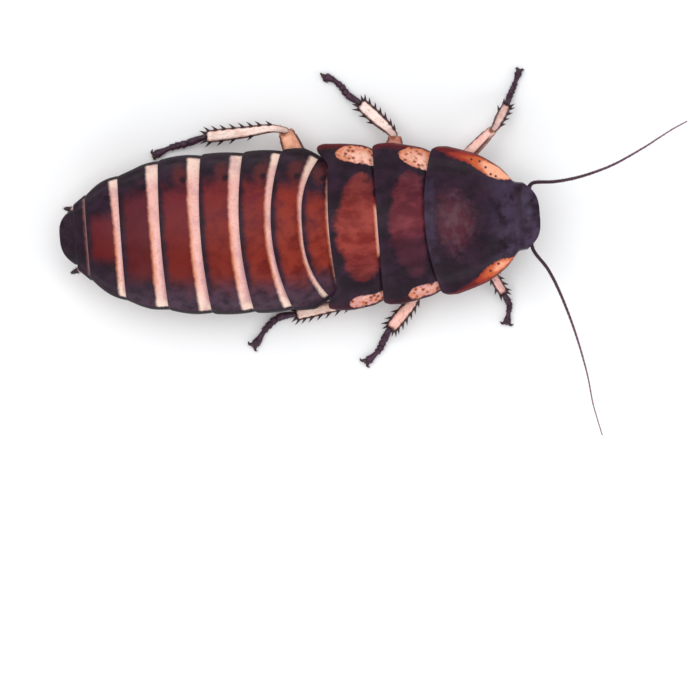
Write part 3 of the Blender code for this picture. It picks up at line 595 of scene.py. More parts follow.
# Abdomen plates
# Eight lapped plates of shell, red-brown in the middle and near black at the sides and along each
# rear edge. The front strip of each is thin pale shell, which shows as a band in front of the
# red-brown because a fed young insect's plates are drawn apart.
ABDOMEN_HALF_WIDTH = 5.4
ABDOMEN_PLAN = [
    (-15.2, 2.04), (-15.0, 2.26), (-14.6, 2.53), (-14.2, 2.82), (-13.8, 3.2), (-13.4, 3.51), (-13.0, 3.75),
    (-12.6, 3.93), (-11.8, 4.21), (-11.0, 4.51), (-10.2, 4.78), (-9.0, 5.02), (-8.2, 5.15), (-7.0, 5.27),
    (-5.0, 5.32), (-3.0, 5.34), (0.4, 5.3), (1.0, 5.1), (1.8, 4.75),
]
ABDOMEN_CORNER = 0.3
SCALLOP_BULGE = 0.018
SCALLOP_DEPTH = 0.06
SCALLOP_PEAK = 0.35
FULL_WIDTH = (-2.0, 2.0)
# Each plate's rear edge, the pale band's width at the left, middle and right, the reach of the
# red-brown to the left and right, how strong and how bright that is, and the band's ends.
TERGITES = {
    "tergite_1": ((0.16, 1.62, 0.0, 2.6), (0.03, 0.09, 0.06), (0.42, 0.6), 1.0, 1.0, (-0.62, 0.5)),
    "tergite_2": ((-1.9, 1.1, 0.0), (0.5, 0.17, 0.28), (0.56, 0.68), 1.0, 0.95, FULL_WIDTH),
    "tergite_3": ((-4.0, 0.6, 0.0), (0.52, 0.36, 0.52), (0.6, 0.68), 1.0, 0.65, FULL_WIDTH),
    "tergite_4": ((-6.6, 0.38, 0.0), (0.74, 0.62, 0.74), (0.62, 0.64), 1.0, 0.5, FULL_WIDTH),
    "tergite_5": ((-9.26, 0.17, 0.0), (0.84, 0.66, 0.76), (0.58, 0.62), 1.0, 0.2, FULL_WIDTH),
    "tergite_6": ((-11.9, 0.03, 0.0), (0.8, 0.63, 0.74), (0.62, 0.6), 0.66, 0.1, FULL_WIDTH),
    "tergite_7": ((-14.15, 0.0, 0.0), (0.56, 0.38, 0.42), (0.36, 0.4), 0.85, 0.1, FULL_WIDTH),
    "tergite_8": ((-14.95, 0.0, 0.0), (0.1, 0.08, 0.06), (-1.0, -1.0), 0.0, 0.0, (-0.8, 0.93)),
}
ROSE_SHEEN = (0.125, 0.013, 0.022)
SHELL_RUST = (0.24, 0.026, 0.014)
LILAC_SHEEN = (0.08, 0.036, 0.062)
SMUDGE_BROWN = (0.11, 0.018, 0.017)
STREAK_RED = (0.07, 0.004, 0.004)
abdomen_half_width = smooth_curve(ABDOMEN_PLAN)


def tergite_reach(x, t):
    """Each plate's side bulges a little and stands proud of the next one at its rear corner."""
    return abdomen_half_width(x) * (1 + SCALLOP_BULGE - SCALLOP_DEPTH * (t - SCALLOP_PEAK) ** 2)


def tergite_height(x, u, t, from_side):
    """A low swell between a sunken pale front and a raised rear lip, with a groove inside each margin."""
    z = back_height(x, u) + LIP_RISE * (1 - t) + 0.07 * np.sin(np.pi * t) * (1 - u ** 2)
    z = z - 0.07 * smooth_step(0.72, 0.95, t) + 0.03 * hump(0.03, 0.1, t)
    return z - 0.06 * hump(0.5, 0.3, from_side) * hump(0.45, 0.5, t)


def tergite_marks(band_widths, reds, strength, glow, band_ends):
    def measures_at(x, y, u, from_side, measures):
        left, middle, right = band_widths
        width = blend(middle, np.where(u > 0, left, right), np.abs(u) ** 1.6)
        from_band = measures["from_front"] - width
        band = np.minimum(-from_band, 0.5 * np.minimum(u - band_ends[0], band_ends[1] - u))
        reach = 0.42 * (np.where(u > 0, *reds) - np.abs(u)) * ABDOMEN_HALF_WIDTH
        patch = np.minimum(reach, 1.3 * (measures["from_rear"] - 0.34))
        scar = 0.27 - np.hypot((np.abs(u) - 0.68) * ABDOMEN_HALF_WIDTH, from_band - 0.3) - 0.2 * (u < 0)
        smudge = 1 - np.hypot((np.abs(u) - 0.74) / 0.2, (from_band - 0.5) / 0.8)
        return {
            "band": band, "patch": patch, "scar": scar, "outer": np.abs(u),
            "smudge": smudge - 0.35 * (u < 0) - 0.7 * (glow < 0.2),
            "fringe": np.clip(-from_band / width, -1.0, 1.0),
            "strength": strength + 0 * x, "glow": glow + 0 * x,
        }
    return measures_at


shell = Finish("abdomen_shell", SHELL_BLACK, *SHELL_GLOSS)
shell.lay(SHELL_PURPLE, shell.clouds(0.9, detail=5.0))
shell.lay(SMUDGE_BROWN, shell.edge("smudge", 0.0, 0.8, 1.6, 1.0), 0.75)
# The red turns pinker towards the left side: painted sheen, a bluish reflection on that side of the vault.
red = shell.tint(shell.along("Y", -1.5, 2.5), SHELL_RED, ROSE_SHEEN)
glow = shell.product(shell.clouds(0.9, 0.3, 0.6, detail=5.0), shell.measure("glow"))
red = shell.tint(glow, red, SHELL_RUST)
red = shell.tint(shell.clouds(7.0, 0.48, 0.78, 0.4, stretch=(0.35, 1.8, 1.0)), red, STREAK_RED)
red = shell.tint(shell.clouds(22.0, 0.5, 0.8, 0.3), red, SHELL_RUST)
shell.lay(red, shell.edge("patch", -0.34, 0.36, 1.3, 0.6, 5.0), shell.measure("strength"))
shell.lay(SHELL_BLACK, shell.edge("scar", -0.05, 0.16, 3.0, 0.3), 0.9)
# Painted sheen: a grey-lilac reflection over the right side of the plates.
shell.lay(LILAC_SHEEN, shell.clouds(1.3, 0.3, 0.65, 0.7), shell.along("Y", -2.4, -4.2))
pale = shell.tint(shell.edge("outer", 0.55, 0.95, 1.0, 0.3), BAND_PINK, BAND_CREAM)
front_dull = shell.product(shell.edge("fringe", 0.35, 1.0, 0.9, 1.0), shell.along("Y", 0.6, -2.2))
fringe = shell.product(shell.edge("fringe", 0.5, -0.1, 1.2, 0.7), shell.edge("outer", 0.9, 0.5))
for colour, amounts in (
    (BAND_MAUVE, [shell.clouds(0.8, 0.45, 0.68, 0.6)]),
    (BAND_MAUVE, [shell.clouds(10.0, 0.48, 0.76, 0.5)]),
    (BAND_MAUVE, [front_dull, shell.edge("outer", 0.93, 0.84), 0.85]),
    (BAND_ORANGE, [fringe, shell.sum((shell.along("Y", 2.4, -0.4), 0.45), 0.5)]),
    (BAND_ORANGE, [shell.clouds(5.0, 0.5, 0.72, 0.5), shell.edge("outer", 0.9, 0.6)]),
    (SHELL_BROWN, [shell.edge("strength", 0.4, 0.1), 0.7]),
):
    pale = shell.tint(shell.product(*amounts), pale, colour)
shell.lay(pale, shell.edge("band", -0.16, 0.1, 2.2, 0.2))
shell.lay(SHELL_BLACK, shell.edge("from_side", 0.29, 0.16, 3.0, 0.14))
shell_relief(shell)

ahead = METANOTUM_REAR[:2] + (0.0,)
for node, (rear, *marks) in TERGITES.items():
    tergite = shell_plate(
        node.replace("tergite", "abdomen_plate"), rear_edge(rear), rear_edge(ahead), tergite_reach,
        tergite_height, tergite_marks(*marks), corner=ABDOMEN_CORNER,
    )
    shell.dress(tergite, "banded_shell")
    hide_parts(node)
    ahead = rear

# Tail plate
# The last plate of the back closes the body's end over the tail feelers. It is one small domed
# piece of near-black shell with a faint notch in its rear edge.
TAIL_END = -16.0
TAIL_PLAN = [(-15.35, 1.64), (-15.1, 1.8), (-14.9, 1.84)]
TAIL_CORNER_FORWARD = 0.65


def tail_rim(u):
    return TAIL_END + TAIL_CORNER_FORWARD * np.abs(u) ** 3


def tail_height(x, u, t, from_side):
    return back_height(x, u) - 0.04 * hump(0.0, 0.12, u) * hump(0.2, 0.4, t)


tail_plate = shell_plate(
    "tail_plate", tail_rim, rear_edge(TERGITES["tergite_8"][0]), lambda x, t: smooth_curve(TAIL_PLAN)(x),
    tail_height, lambda *places: {}, thickness=0.3, lip=0.14, tuck=0.5,
)
shell = Finish("tail_shell", SHELL_BLACK, *SHELL_GLOSS)
shell.lay(SHELL_PURPLE, shell.clouds(1.5, detail=5.0))
shell_relief(shell)
shell.dress(tail_plate, "dark_shell")
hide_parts("supra_anal_plate")

# Belly plates
# Ten plates of brown shell close the body from below: three small ones between the hips and seven
# broad ones under the abdomen. Each laps over the plate behind it, and their sides sit inside the
# margins of the back plates.
BELLY_HEIGHTS = [
    (-15.2, 2.1), (-13.5, 1.65), (-11.0, 1.35), (-8.0, 1.2), (-5.0, 1.35), (-2.0, 1.8), (0.5, 2.2),
    (2.0, 2.3),
]
BELLY_FRONT = (1.55, 0.0, 0.0)
STERNITE_EDGES = {
    "sternite_1": (0.35, 0.0, 0.0), "sternite_2": (-1.9, 0.0, 0.0), "sternite_3": (-4.1, 0.0, 0.0),
    "sternite_4": (-6.6, 0.0, 0.0), "sternite_5": (-9.2, 0.0, 0.0), "sternite_6": (-11.8, 0.0, 0.0),
    "sternite_7": (-15.1, 1.3, 0.0),
}
STERNITE_INSET = 0.95
# Rear and front ends, and rear and front half widths, of the three plates between the hips.
BREAST_PLATES = {
    "metasternum": (1.65, 5.15, 4.2, 4.0), "mesosternum": (5.25, 8.65, 3.9, 3.5),
    "prosternum": (8.75, 12.4, 3.35, 2.4),
}
BREAST_SWEEP = -0.5
BELLY_AMBER = (0.34, 0.13, 0.06)
BELLY_BROWN = (0.15, 0.038, 0.022)
BELLY_PALE = (0.6, 0.34, 0.22)
BLOTCH_BROWN = (0.045, 0.012, 0.014)


def belly_height(x, u, t, from_side):
    """The underside, flat across the middle, with each plate's rear lip lowest."""
    bulge = np.maximum(0.0, 1 - np.abs(u) ** 2.6) ** 0.8
    z = blend(margin_height(x) - 0.17, smooth_curve(BELLY_HEIGHTS)(x), bulge)
    z = z - 0.05 * np.sin(np.pi * t) * (1 - u * u) - 0.07 * (1 - t) + 0.05 * smooth_step(0.75, 0.97, t)
    return z + 0.05 * hump(0.9, 0.5, from_side) * hump(0.5, 0.5, t)


def belly_marks(x, y, u, from_side, measures):
    blotch = 1 - np.hypot((np.abs(u) - 0.74) / 0.24, (measures["from_rear"] - 0.9) / 1.1)
    return {"blotch": blotch, "band": 0.3 - measures["from_front"]}


belly = Finish("belly_shell", BELLY_AMBER, roughness=0.4, specular=0.4, coat=0.12, coat_roughness=0.3)
belly.lay(BELLY_BROWN, belly.clouds(0.9, 0.3, 0.7, detail=5.0))
belly.lay(BLOTCH_BROWN, belly.edge("blotch", 0.0, 0.9, 1.4, 1.5), 0.75)
belly.lay(BELLY_BROWN, belly.edge("from_rear", 0.5, 0.1, 2.5, 0.5), 0.8)
belly.lay(BELLY_PALE, belly.edge("band", -0.12, 0.2, 3.0, 0.3), 0.8)
belly.lay(SHELL_PURPLE, belly.edge("from_side", 0.5, 0.15))
shell_relief(belly)


def belly_plate(node, name, rear, ahead, reach, tuck, corner):
    plate = shell_plate(
        name, rear_edge(rear), rear_edge(ahead), reach, belly_height, belly_marks, up=-1, thickness=0.2,
        tuck=tuck, dip=0.14, corner=corner,
    )
    belly.dress(plate, "belly_shell")
    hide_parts(node)


def sternite_reach(x, t):
    return STERNITE_INSET * abdomen_half_width(x)


ahead = BELLY_FRONT
for node, rear in STERNITE_EDGES.items():
    belly_plate(node, node.replace("sternite", "belly_plate"), rear, ahead, sternite_reach, 0.6, 0.3)
    ahead = rear
for node, (rear_x, front_x, *half_widths) in BREAST_PLATES.items():
    belly_plate(
        node, node.replace("sternum", "breast_plate"), (rear_x, 0.0, 0.0), (front_x, BREAST_SWEEP, 0.0),
        lambda x, t: blend(*half_widths, t), 0.0, 0.9,
    )

# Soft skin
# The pale, folded skin that joins the plates: it lines the slit along each side between back and
# belly, carries the breathing holes there, fills the ground between the hips, and narrows in
# front to the wrinkled neck that holds the head.
SKIN_TOPS = [
    (-15.2, 3.5), (-14.0, 4.2), (-12.0, 4.95), (-9.0, 5.65), (-6.0, 6.0), (-2.0, 6.15), (2.0, 6.0),
    (8.0, 5.9), (10.0, 5.8), (11.2, 5.1), (12.2, 4.4), (13.0, 4.05), (13.9, 3.95),
]
SKIN_BOTTOMS = [
    (-15.2, 2.5), (-13.5, 1.95), (-11.0, 1.65), (-8.0, 1.5), (-5.0, 1.65), (-2.0, 2.1), (0.5, 2.4),
    (2.0, 2.4), (11.8, 2.4), (12.8, 2.7), (13.9, 2.85),
]
SKIN_WIDTHS = [
    (1.0, 5.1), (2.2, 4.35), (5.0, 4.05), (8.7, 3.5), (11.5, 2.75), (12.5, 1.55), (13.2, 1.15), (13.9, 1.0),
]
SKIN_INSET = 0.955
SKIN_ENDS = (-14.7, 13.9)
SKIN_RINGS = 430
SKIN_SIDES = 120
PLEAT_LENGTH = 0.36
PLEAT_DEPTH = 0.045
WRINKLE_LENGTH = 0.3
WRINKLE_DEPTH = 0.06
SKIN_LIFT = 0.02
SPIRACLE_X = [-0.8, -2.9, -5.3, -7.9, -10.5, -12.9]
SPIRACLE_HALF_SIZES = (0.2, 0.09, 0.12)
SKIN_PALE = (0.72, 0.5, 0.38)
SKIN_PINK = (0.55, 0.28, 0.22)
GROOVE_SHADE = (0.3, 0.13, 0.09)


def skin_half_width(x):
    return np.where(x < 1.0, SKIN_INSET * abdomen_half_width(x), smooth_curve(SKIN_WIDTHS)(x))


def soft_tube():
    x = np.linspace(*SKIN_ENDS, SKIN_RINGS)[:, None]
    angle = np.linspace(0, 2 * np.pi, SKIN_SIDES + 1)[None, :-1]
    u, rise = np.cos(angle), np.sin(angle)
    side = margin_height(x) + SKIN_LIFT
    end = np.where(rise > 0, smooth_curve(SKIN_TOPS)(x), smooth_curve(SKIN_BOTTOMS)(x))
    arch = np.where(rise > 0, 1 - u * u, np.maximum(0.0, 1 - np.abs(u) ** 2.6) ** 0.8)
    groove = np.sin(2 * np.pi * x / PLEAT_LENGTH) * np.clip((np.abs(u) - 0.75) / 0.25, 0.0, 1.0)
    neck = smooth_step(12.0, 12.6, x)
    wrinkles = WRINKLE_DEPTH * np.sin(2 * np.pi * x / WRINKLE_LENGTH + 1.5 * np.cos(3 * angle)) * neck
    half = skin_half_width(x) + wrinkles + PLEAT_DEPTH * groove * (1 - neck)
    z = side + (end - side) * arch + rise * (wrinkles + PLEAT_DEPTH / 2 * groove)
    points = np.stack([x + 0 * u, u * half + swing(x), z], axis=-1).reshape(-1, 3)
    return points, grid_faces(SKIN_RINGS, SKIN_SIDES), {"groove": groove}


def ball_grid(rows, columns):
    """Points of a ball of radius 1, in rings from its top down."""
    rise = np.cos(np.pi * np.linspace(0, 1, rows))[:, None]
    angle = np.linspace(0, 2 * np.pi, columns + 1)[None, :-1]
    flat = np.sqrt(np.maximum(0.0, 1 - rise * rise))
    return np.stack([flat * np.cos(angle), flat * np.sin(angle), rise + 0 * angle], axis=-1)


def bead(middle, half_sizes, turn=None, relief=None):
    """A small rounded body, turned by a matrix, with relief as a share of its size."""
    ball = ball_grid(15, 20)
    size = (1 + relief(ball))[..., None] if relief else 1.0
    points = (ball * size * np.array(half_sizes)).reshape(-1, 3)
    if turn is not None:
        points = points @ np.array(turn).T
    return points + np.array(middle), grid_faces(15, 20), {}


def slit(ball):
    return -0.5 * hump(0.0, 0.5, ball[..., 2]) * hump(0.0, 0.8, ball[..., 0])


soft_skin = make_piece("soft_skin", [soft_tube()])
skin = Finish("soft_skin", SKIN_PALE, roughness=0.55, specular=0.35)
skin.lay(SKIN_PINK, skin.clouds(1.4, detail=5.0))
# Painted shade: darker brown in the bottoms of the side pleats.
skin.lay(GROOVE_SHADE, skin.edge("groove", 0.1, -0.9))
skin.lay(SKIN_PINK, skin.clouds(9.0, 0.45, 0.75, 0.35, 3.0))
skin.raised(skin.grain(14.0, 4.0), 0.03)
skin.raised(skin.pits(9.0), 0.02)
skin.dress(soft_skin, "belly_shell")
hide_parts("neck")

spiracles = []
for x in SPIRACLE_X:
    for side in (-1, 1):
        place = (x, side * float(skin_half_width(x)) + float(swing(x)), float(margin_height(x)) + SKIN_LIFT)
        spiracles.append(bead(place, SPIRACLE_HALF_SIZES, relief=slit))
breathing_holes = make_piece("breathing_holes", spiracles)
rims = Finish("breathing_hole_rims", BELLY_BROWN, roughness=0.4, specular=0.4)
rims.lay(SHELL_PURPLE, rims.clouds(8.0, 0.3, 0.7, detail=3.0))
rims.raised(rims.grain(20.0), 0.01)
rims.dress(breathing_holes, "dark_shell")

# Hips
# The coxa of each leg is a broad, flat trough of tan shell that lies back along the underside,
# with a raised rim on both sides and a hollow in which the thigh can fold. The small trochanter
# is its hinge with the thigh.
LEGS = {
    "hind_left": {
        "hip": (4.7, 1.5, 1.8), "trochanter": (1.0, 2.3, 1.6), "knee": (-0.45, 6.56, 2.45),
        "shin_top": (-0.3, 6.56, 2.72), "ankle": (-5.87, 6.64, 0.86),
        "foot": [
            (-6.2, 6.55, 0.66), (-7.2, 6.29, 0.36), (-8.1, 6.13, 0.27), (-8.95, 5.83, 0.27),
            (-9.3, 5.67, 0.28),
        ],
        "claws": [(-9.42, 6.15, 0.12), (-9.2, 5.38, 0.12)],
    },
    "hind_right": {
        "hip": (4.5, -1.25, 1.8), "trochanter": (1.4, -2.5, 1.6), "knee": (4.44, -4.85, 2.1),
        "ankle": (-0.77, -5.66, 0.84),
        "foot": [
            (-1.1, -5.63, 0.64), (-1.95, -5.8, 0.36), (-2.75, -6.42, 0.27), (-3.3, -7.14, 0.27),
            (-3.62, -7.47, 0.28),
        ],
        "claws": [(-4.04, -7.15, 0.12), (-3.4, -7.91, 0.12)],
    },
    "mid_left": {
        "hip": (8.4, 1.4, 1.8), "trochanter": (6.2, 2.25, 1.58), "knee": (6.79, 5.66, 2.2),
        "ankle": (4.63, 8.13, 0.84),
        "foot": [
            (4.37, 8.32, 0.64), (3.85, 8.72, 0.36), (3.5, 9.28, 0.27), (2.95, 9.82, 0.27),
            (2.4, 10.04, 0.28),
        ],
        "claws": [(2.22, 10.36, 0.12), (2.6, 9.6, 0.12)],
    },
    "mid_right": {
        "hip": (8.4, -1.4, 1.8), "trochanter": (6.2, -2.1, 1.58), "knee": (7.62, -4.75, 2.15),
        "ankle": (5.5, -7.08, 0.84),
        "foot": [
            (5.3, -7.34, 0.64), (4.97, -7.9, 0.36), (4.7, -8.38, 0.27), (4.2, -8.84, 0.27),
            (3.8, -9.12, 0.28),
        ],
        "claws": [(3.32, -8.82, 0.12), (4.02, -9.56, 0.12)],
    },
    "front_left": {
        "hip": (12.0, 1.2, 1.82), "trochanter": (10.0, 2.75, 1.58), "knee": (13.26, 5.6, 2.15),
        "ankle": (14.42, 7.26, 0.84),
        "foot": [
            (14.52, 7.56, 0.62), (14.72, 8.0, 0.34), (14.98, 8.5, 0.27), (15.2, 9.0, 0.27),
            (15.38, 9.42, 0.28),
        ],
        "claws": [(15.74, 9.44, 0.12), (15.12, 9.64, 0.12)],
    },
    "front_right": {
        "hip": (11.5, -1.2, 1.82), "trochanter": (9.5, -2.75, 1.58), "knee": (12.27, -3.5, 2.05),
        "ankle": (13.27, -5.32, 0.84),
        "foot": [
            (13.4, -5.6, 0.62), (13.58, -6.05, 0.34), (13.5, -6.5, 0.27), (13.4, -6.95, 0.27),
            (13.33, -7.2, 0.28),
        ],
        "claws": [(12.84, -7.1, 0.12), (13.82, -7.38, 0.12)],
    },
}
# Half width and half height of the hip, by pair of legs, and its shape from end to end.
HIP_SIZES = {"hind": (1.2, 0.44), "mid": (1.1, 0.44), "front": (1.0, 0.44)}
HIP_WIDTHS = [0.55, 0.95, 1.0, 0.9, 0.72, 0.42]
HIP_HEIGHTS = [0.7, 0.95, 1.0, 0.95, 0.85, 0.6]
HINGE_WIDTHS = [0.3, 0.42, 0.4, 0.34]
HINGE_HEIGHTS = [0.24, 0.34, 0.34, 0.28]
UPRIGHT = (0.0, 0.0, 1.0)
SPINE_BROWN = (0.045, 0.012, 0.016)
LEG_CREAM = (0.96, 0.7, 0.6)
LEG_PINK = (0.9, 0.5, 0.45)
LEG_RUST = (0.48, 0.15, 0.08)
LEG_BROWN = (0.09, 0.02, 0.018)
HIP_TAN = (0.62, 0.29, 0.17)
HIP_BROWN = (0.42, 0.15, 0.08)


def unit(way):
    """A direction, or each row of a list of them, brought to length 1."""
    return way / np.linalg.norm(way, axis=-1, keepdims=True)


def bell(middle, spread, x):
    """A bell curve of height 1 at middle."""
    return np.exp(-((x - middle) / spread) ** 2)


def even_curve(values):
    """A smooth curve through values at even steps from 0 to 1, as a function."""
    return smooth_curve(list(zip(np.linspace(0.0, 1.0, len(values)), values)))


def smooth_route(points, places):
    """Points at the given shares of a smooth curve's length, and that length."""
    pts = [np.array(p, float) for p in (points[0], *points, points[-1])]
    t = np.linspace(0.0, 1.0, 24, endpoint=False)[:, None]
    fine = [
        0.5 * (2 * b + (c - a) * t + (2 * a - 5 * b + 4 * c - d) * t ** 2 + (3 * b - a - 3 * c + d) * t ** 3)
        for a, b, c, d in zip(pts, pts[1:], pts[2:], pts[3:])
    ]
    fine = np.concatenate([*fine, [pts[-1]]])
    lengths = np.concatenate([[0.0], np.cumsum(np.linalg.norm(np.diff(fine, axis=0), axis=1))])
    run = lengths[-1] * np.asarray(places)
    return np.stack([np.interp(run, lengths, fine[:, axis]) for axis in range(3)], axis=-1), lengths[-1]


def bar(
    route, widths, heights, upright=UPRIGHT, rings=40, sides=24, cap=1.0, floor=None, relief=None, share=1.0,
):
    """An oval bar along a route, with half widths and half heights at even steps and rounded ends."""
    t = np.asarray(rings)
    if t.ndim == 0:
        t = (1 - np.cos(np.pi * np.linspace(0.0, 1.0, rings + 1))) / 2
    centres, length = smooth_route(route, t)
    ways = unit(np.gradient(centres, axis=0))
    across = unit(np.cross(np.array(upright, float), ways))
    up = np.cross(ways, across)
    wide = share * even_curve(widths)(t)
    high = share * even_curve(heights)(t)
    start_cap, end_cap = (cap * min(wide[i], high[i]) / length + 1e-6 for i in (0, -1))
    ends = np.minimum(np.clip(t / start_cap, 0, 1), np.clip((1 - t) / end_cap, 0, 1))
    ends = np.sqrt(1 - (1 - ends) ** 2)[:, None]
    angle = np.linspace(0, 2 * np.pi, sides + 1)[None, :-1]
    reach = relief(t[:, None], angle) * ends if relief else 0.0
    side_reach = (wide[:, None] * ends + reach) * np.cos(angle)
    up_reach = (high[:, None] * ends + reach) * np.sin(angle)
    points = centres[:, None] + across[:, None] * side_reach[..., None] + up[:, None] * up_reach[..., None]
    if floor is not None:
        points[..., 2] = np.maximum(points[..., 2], floor)
    measures = {
        "run": (t * length)[:, None] + 0 * angle, "left": ((1 - t) * length)[:, None] + 0 * angle,
        "across": np.cos(angle) + 0 * t[:, None], "upward": np.sin(angle) + 0 * t[:, None],
    }
    return points.reshape(-1, 3), grid_faces(len(t), sides), measures


def leg_finish(
    name, pale, dark, start_dark=0.7, end_dark=0.9, stripe=None, socket=SPINE_BROWN, edges=(0.7, 0.96),
    start=0.34,
):
    """Tan or cream shell, darker towards both edges with painted shade where the rounded sides turn from the
    light, a narrow brown rim there that is partly the shell's own brown and partly painted shade, browner at
    the joints, and dark rings round the spines.
    """
    shell = Finish(name, pale, 0.42, 0.3, 0.04, 0.3)
    shell.lay(dark, shell.clouds(1.6, 0.4, 0.75, 0.7, 5.0))
    edge = shell.node("Math", {0: shell.measure("across")}, operation="ABSOLUTE")
    edge = shell.sum(edge, (shell.grain(2.0, 4.0), 0.5), -0.25)
    # Painted shade: the bar darkens towards both edges, and the narrow brown rim is partly the shell's own
    # colour.
    shell.lay(dark, shell.step(edge, 0.45, 0.95), 0.8)
    shell.lay(LEG_BROWN, shell.clouds(14.0, 0.6, 0.82, 0.35))
    shell.lay(LEG_BROWN, shell.step(edge, *edges), 0.95)
    shell.lay(LEG_RUST, shell.edge("upward", 0.0, -0.8, 2.0, 0.6), 0.5)
    shell.lay(LEG_BROWN, shell.edge("run", start, 0.06, 3.0, 0.3), start_dark)
    shell.lay(LEG_BROWN, shell.edge("left", 0.44, 0.2, 3.0, 0.3), end_dark)
    shell.lay(socket, shell.edge("spine", -0.03, 0.06, 5.0, 0.16))
    if stripe:
        low, high, soft = stripe
        sides = shell.edge("across", low, low + soft), shell.edge("across", high, high - soft)
        shell.lay(LEG_BROWN, *sides, shell.edge("left", 0.25, 0.7), 0.9)
    shell.raised(shell.grain(11.0, 4.0), 0.014)
    shell.raised(shell.step(shell.pits(7.0), 0.0, 0.13), 0.01)
    return shell


def hip_relief(t, angle):
    """A raised rim along both edges and a hollow along the rear half of the outer face."""
    rims = 0.07 * bell(0.93, 0.09, np.abs(np.cos(angle)))
    hollow = -0.14 * bell(0.35, 0.3, np.cos(angle)) * (np.sin(angle) < 0) * smooth_step(0.25, 0.6, t)
    return (rims + hollow) * np.sin(np.pi * np.clip(t, 0.03, 0.97)) ** 0.5


def hinge_relief(t, angle):
    return -0.05 * bell(0.62, 0.06, t)


hip_shell = leg_finish("hip_shell", HIP_TAN, HIP_BROWN)
for leg, places in LEGS.items():
    hip, trochanter, knee = (np.array(places[key]) for key in ("hip", "trochanter", "knee"))
    width, height = HIP_SIZES[leg.split("_")[0]]
    inside = hip + (hip - trochanter) * 0.06 + (0.0, 0.0, 0.25)
    coxa = bar(
        [inside, hip + (trochanter - hip) * 0.3, trochanter], HIP_WIDTHS * np.array(width),
        HIP_HEIGHTS * np.array(height), rings=48, sides=48, relief=hip_relief,
    )
    hinge = bar(
        [trochanter - 0.3 * unit(trochanter - hip), trochanter, trochanter + 0.55 * unit(knee - trochanter)],
        HINGE_WIDTHS, HINGE_HEIGHTS, rings=20, sides=24, relief=hinge_relief,
    )
    piece = make_piece("hip_" + leg, [coxa, hinge])
    hip_shell.dress(piece, "leg_shell")
    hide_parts("coxa_" + leg)

# Thighs
# The femur is a flattened length of tan shell with a shallow groove below, in which the shin
# folds, and two dark lobes round the knee hinge.
THIGH_SIZES = {"hind": (0.72, 0.42), "mid": (0.64, 0.4), "front": (0.44, 0.36)}
THIGH_WIDTHS = [0.5, 0.76, 0.94, 1.0, 0.97, 0.88, 0.72]
THIGH_HEIGHTS = [0.62, 0.85, 1.0, 1.0, 0.95, 0.9, 0.72]
KNEE_LOBE_HALF_SIZES = (0.16, 0.09, 0.16)
THIGH_BROWN = (0.66, 0.25, 0.18)
THIGH_TAN = (0.8, 0.36, 0.32)
KNEE_BROWN = (0.24, 0.07, 0.04)
# Main colour, second colour, and the dark stripe along one edge: its start, stop and softness across.
THIGH_COLOURS = {
    "hind_left": ((0.94, 0.45, 0.29), (0.5, 0.19, 0.11), (-0.74, -1.4, -0.1)),
    "hind_right": ((0.94, 0.42, 0.25), (0.7, 0.25, 0.14), None),
    "mid_left": (THIGH_BROWN, LEG_RUST, None),
    "mid_right": (THIGH_BROWN, LEG_RUST, None),
    "front_left": ((0.94, 0.57, 0.48), THIGH_TAN, (-0.3, -0.85, -0.14)),
    "front_right": (LEG_PINK, THIGH_TAN, (0.22, 0.7, 0.12)),
}


def thigh_relief(t, angle):
    """A groove below, a ridge along one side and a waist before the knee."""
    groove = -0.08 * bell(-1.0, 0.12, np.sin(angle)) * smooth_step(0.3, 0.6, t)
    ridge = 0.03 * bell(0.8, 0.1, np.sin(angle)) * (np.cos(angle) > 0)
    return groove + ridge - 0.05 * bell(0.9, 0.02, t)


for leg, places in LEGS.items():
    trochanter, knee, ankle = (np.array(places[key]) for key in ("trochanter", "knee", "ankle"))
    width, height = THIGH_SIZES[leg.split("_")[0]]
    out = unit(knee - trochanter)
    thigh = bar(
        [trochanter + 0.3 * out, (trochanter + knee) / 2 + (0.0, 0.0, 0.08), knee + 0.12 * out],
        THIGH_WIDTHS * np.array(width), THIGH_HEIGHTS * np.array(height), rings=52, sides=40,
        relief=thigh_relief,
    )
    inner_side = knee - 0.12 * out + 0.3 * width * unit(ankle - knee) + (0.0, 0.0, 0.3)
    thigh[2]["spine"] = 0.2 - np.linalg.norm((thigh[0] - inner_side) * (1.0, 1.0, 0.5), axis=1)
    lobe_way = unit(np.cross(UPRIGHT, out))
    turn = np.stack([out, lobe_way, np.cross(out, lobe_way)], axis=-1)
    shapes = [thigh]
    for side in (-1, 1):
        lobe = bead(knee - 0.06 * out + side * 0.56 * width * lobe_way, KNEE_LOBE_HALF_SIZES, turn)
        lobe[2]["spine"] = np.full(len(lobe[0]), -0.01)
        shapes.append(lobe)
    pale, dark, stripe = THIGH_COLOURS[leg]
    piece = make_piece("thigh_" + leg, shapes)
    leg_finish("thigh_shell_" + leg, pale, dark, 0.3, 0.25, stripe, KNEE_BROWN).dress(piece, "leg_shell")
    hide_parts("femur_" + leg)

# Shins
# The tibia is a cream bar, thin at the knee and thick at the ankle, armed with rows of stiff dark
# spines. Each spine is a hollow thorn in a dark socket and leans towards the foot, and a ring of
# longer spurs stands round the ankle.
SHIN_HALF_WIDTHS = {
    "hind": [0.22, 0.26, 0.32, 0.37, 0.4, 0.41, 0.38],
    "mid": [0.28, 0.32, 0.4, 0.45, 0.46, 0.44, 0.38],
    "front": [0.21, 0.26, 0.31, 0.34, 0.34, 0.31, 0.27],
}
SHIN_HALF_HEIGHTS = [0.22, 0.24, 0.28, 0.31, 0.33, 0.33, 0.3]
SHIN_BOW = 0.09
SHIN_BOWS = {"hind_left": 0.27}
SHIN_KNEE_REACH = 1.3
SPINE_LENGTHS = {"hind": 0.46, "mid": 0.42, "front": 0.36}
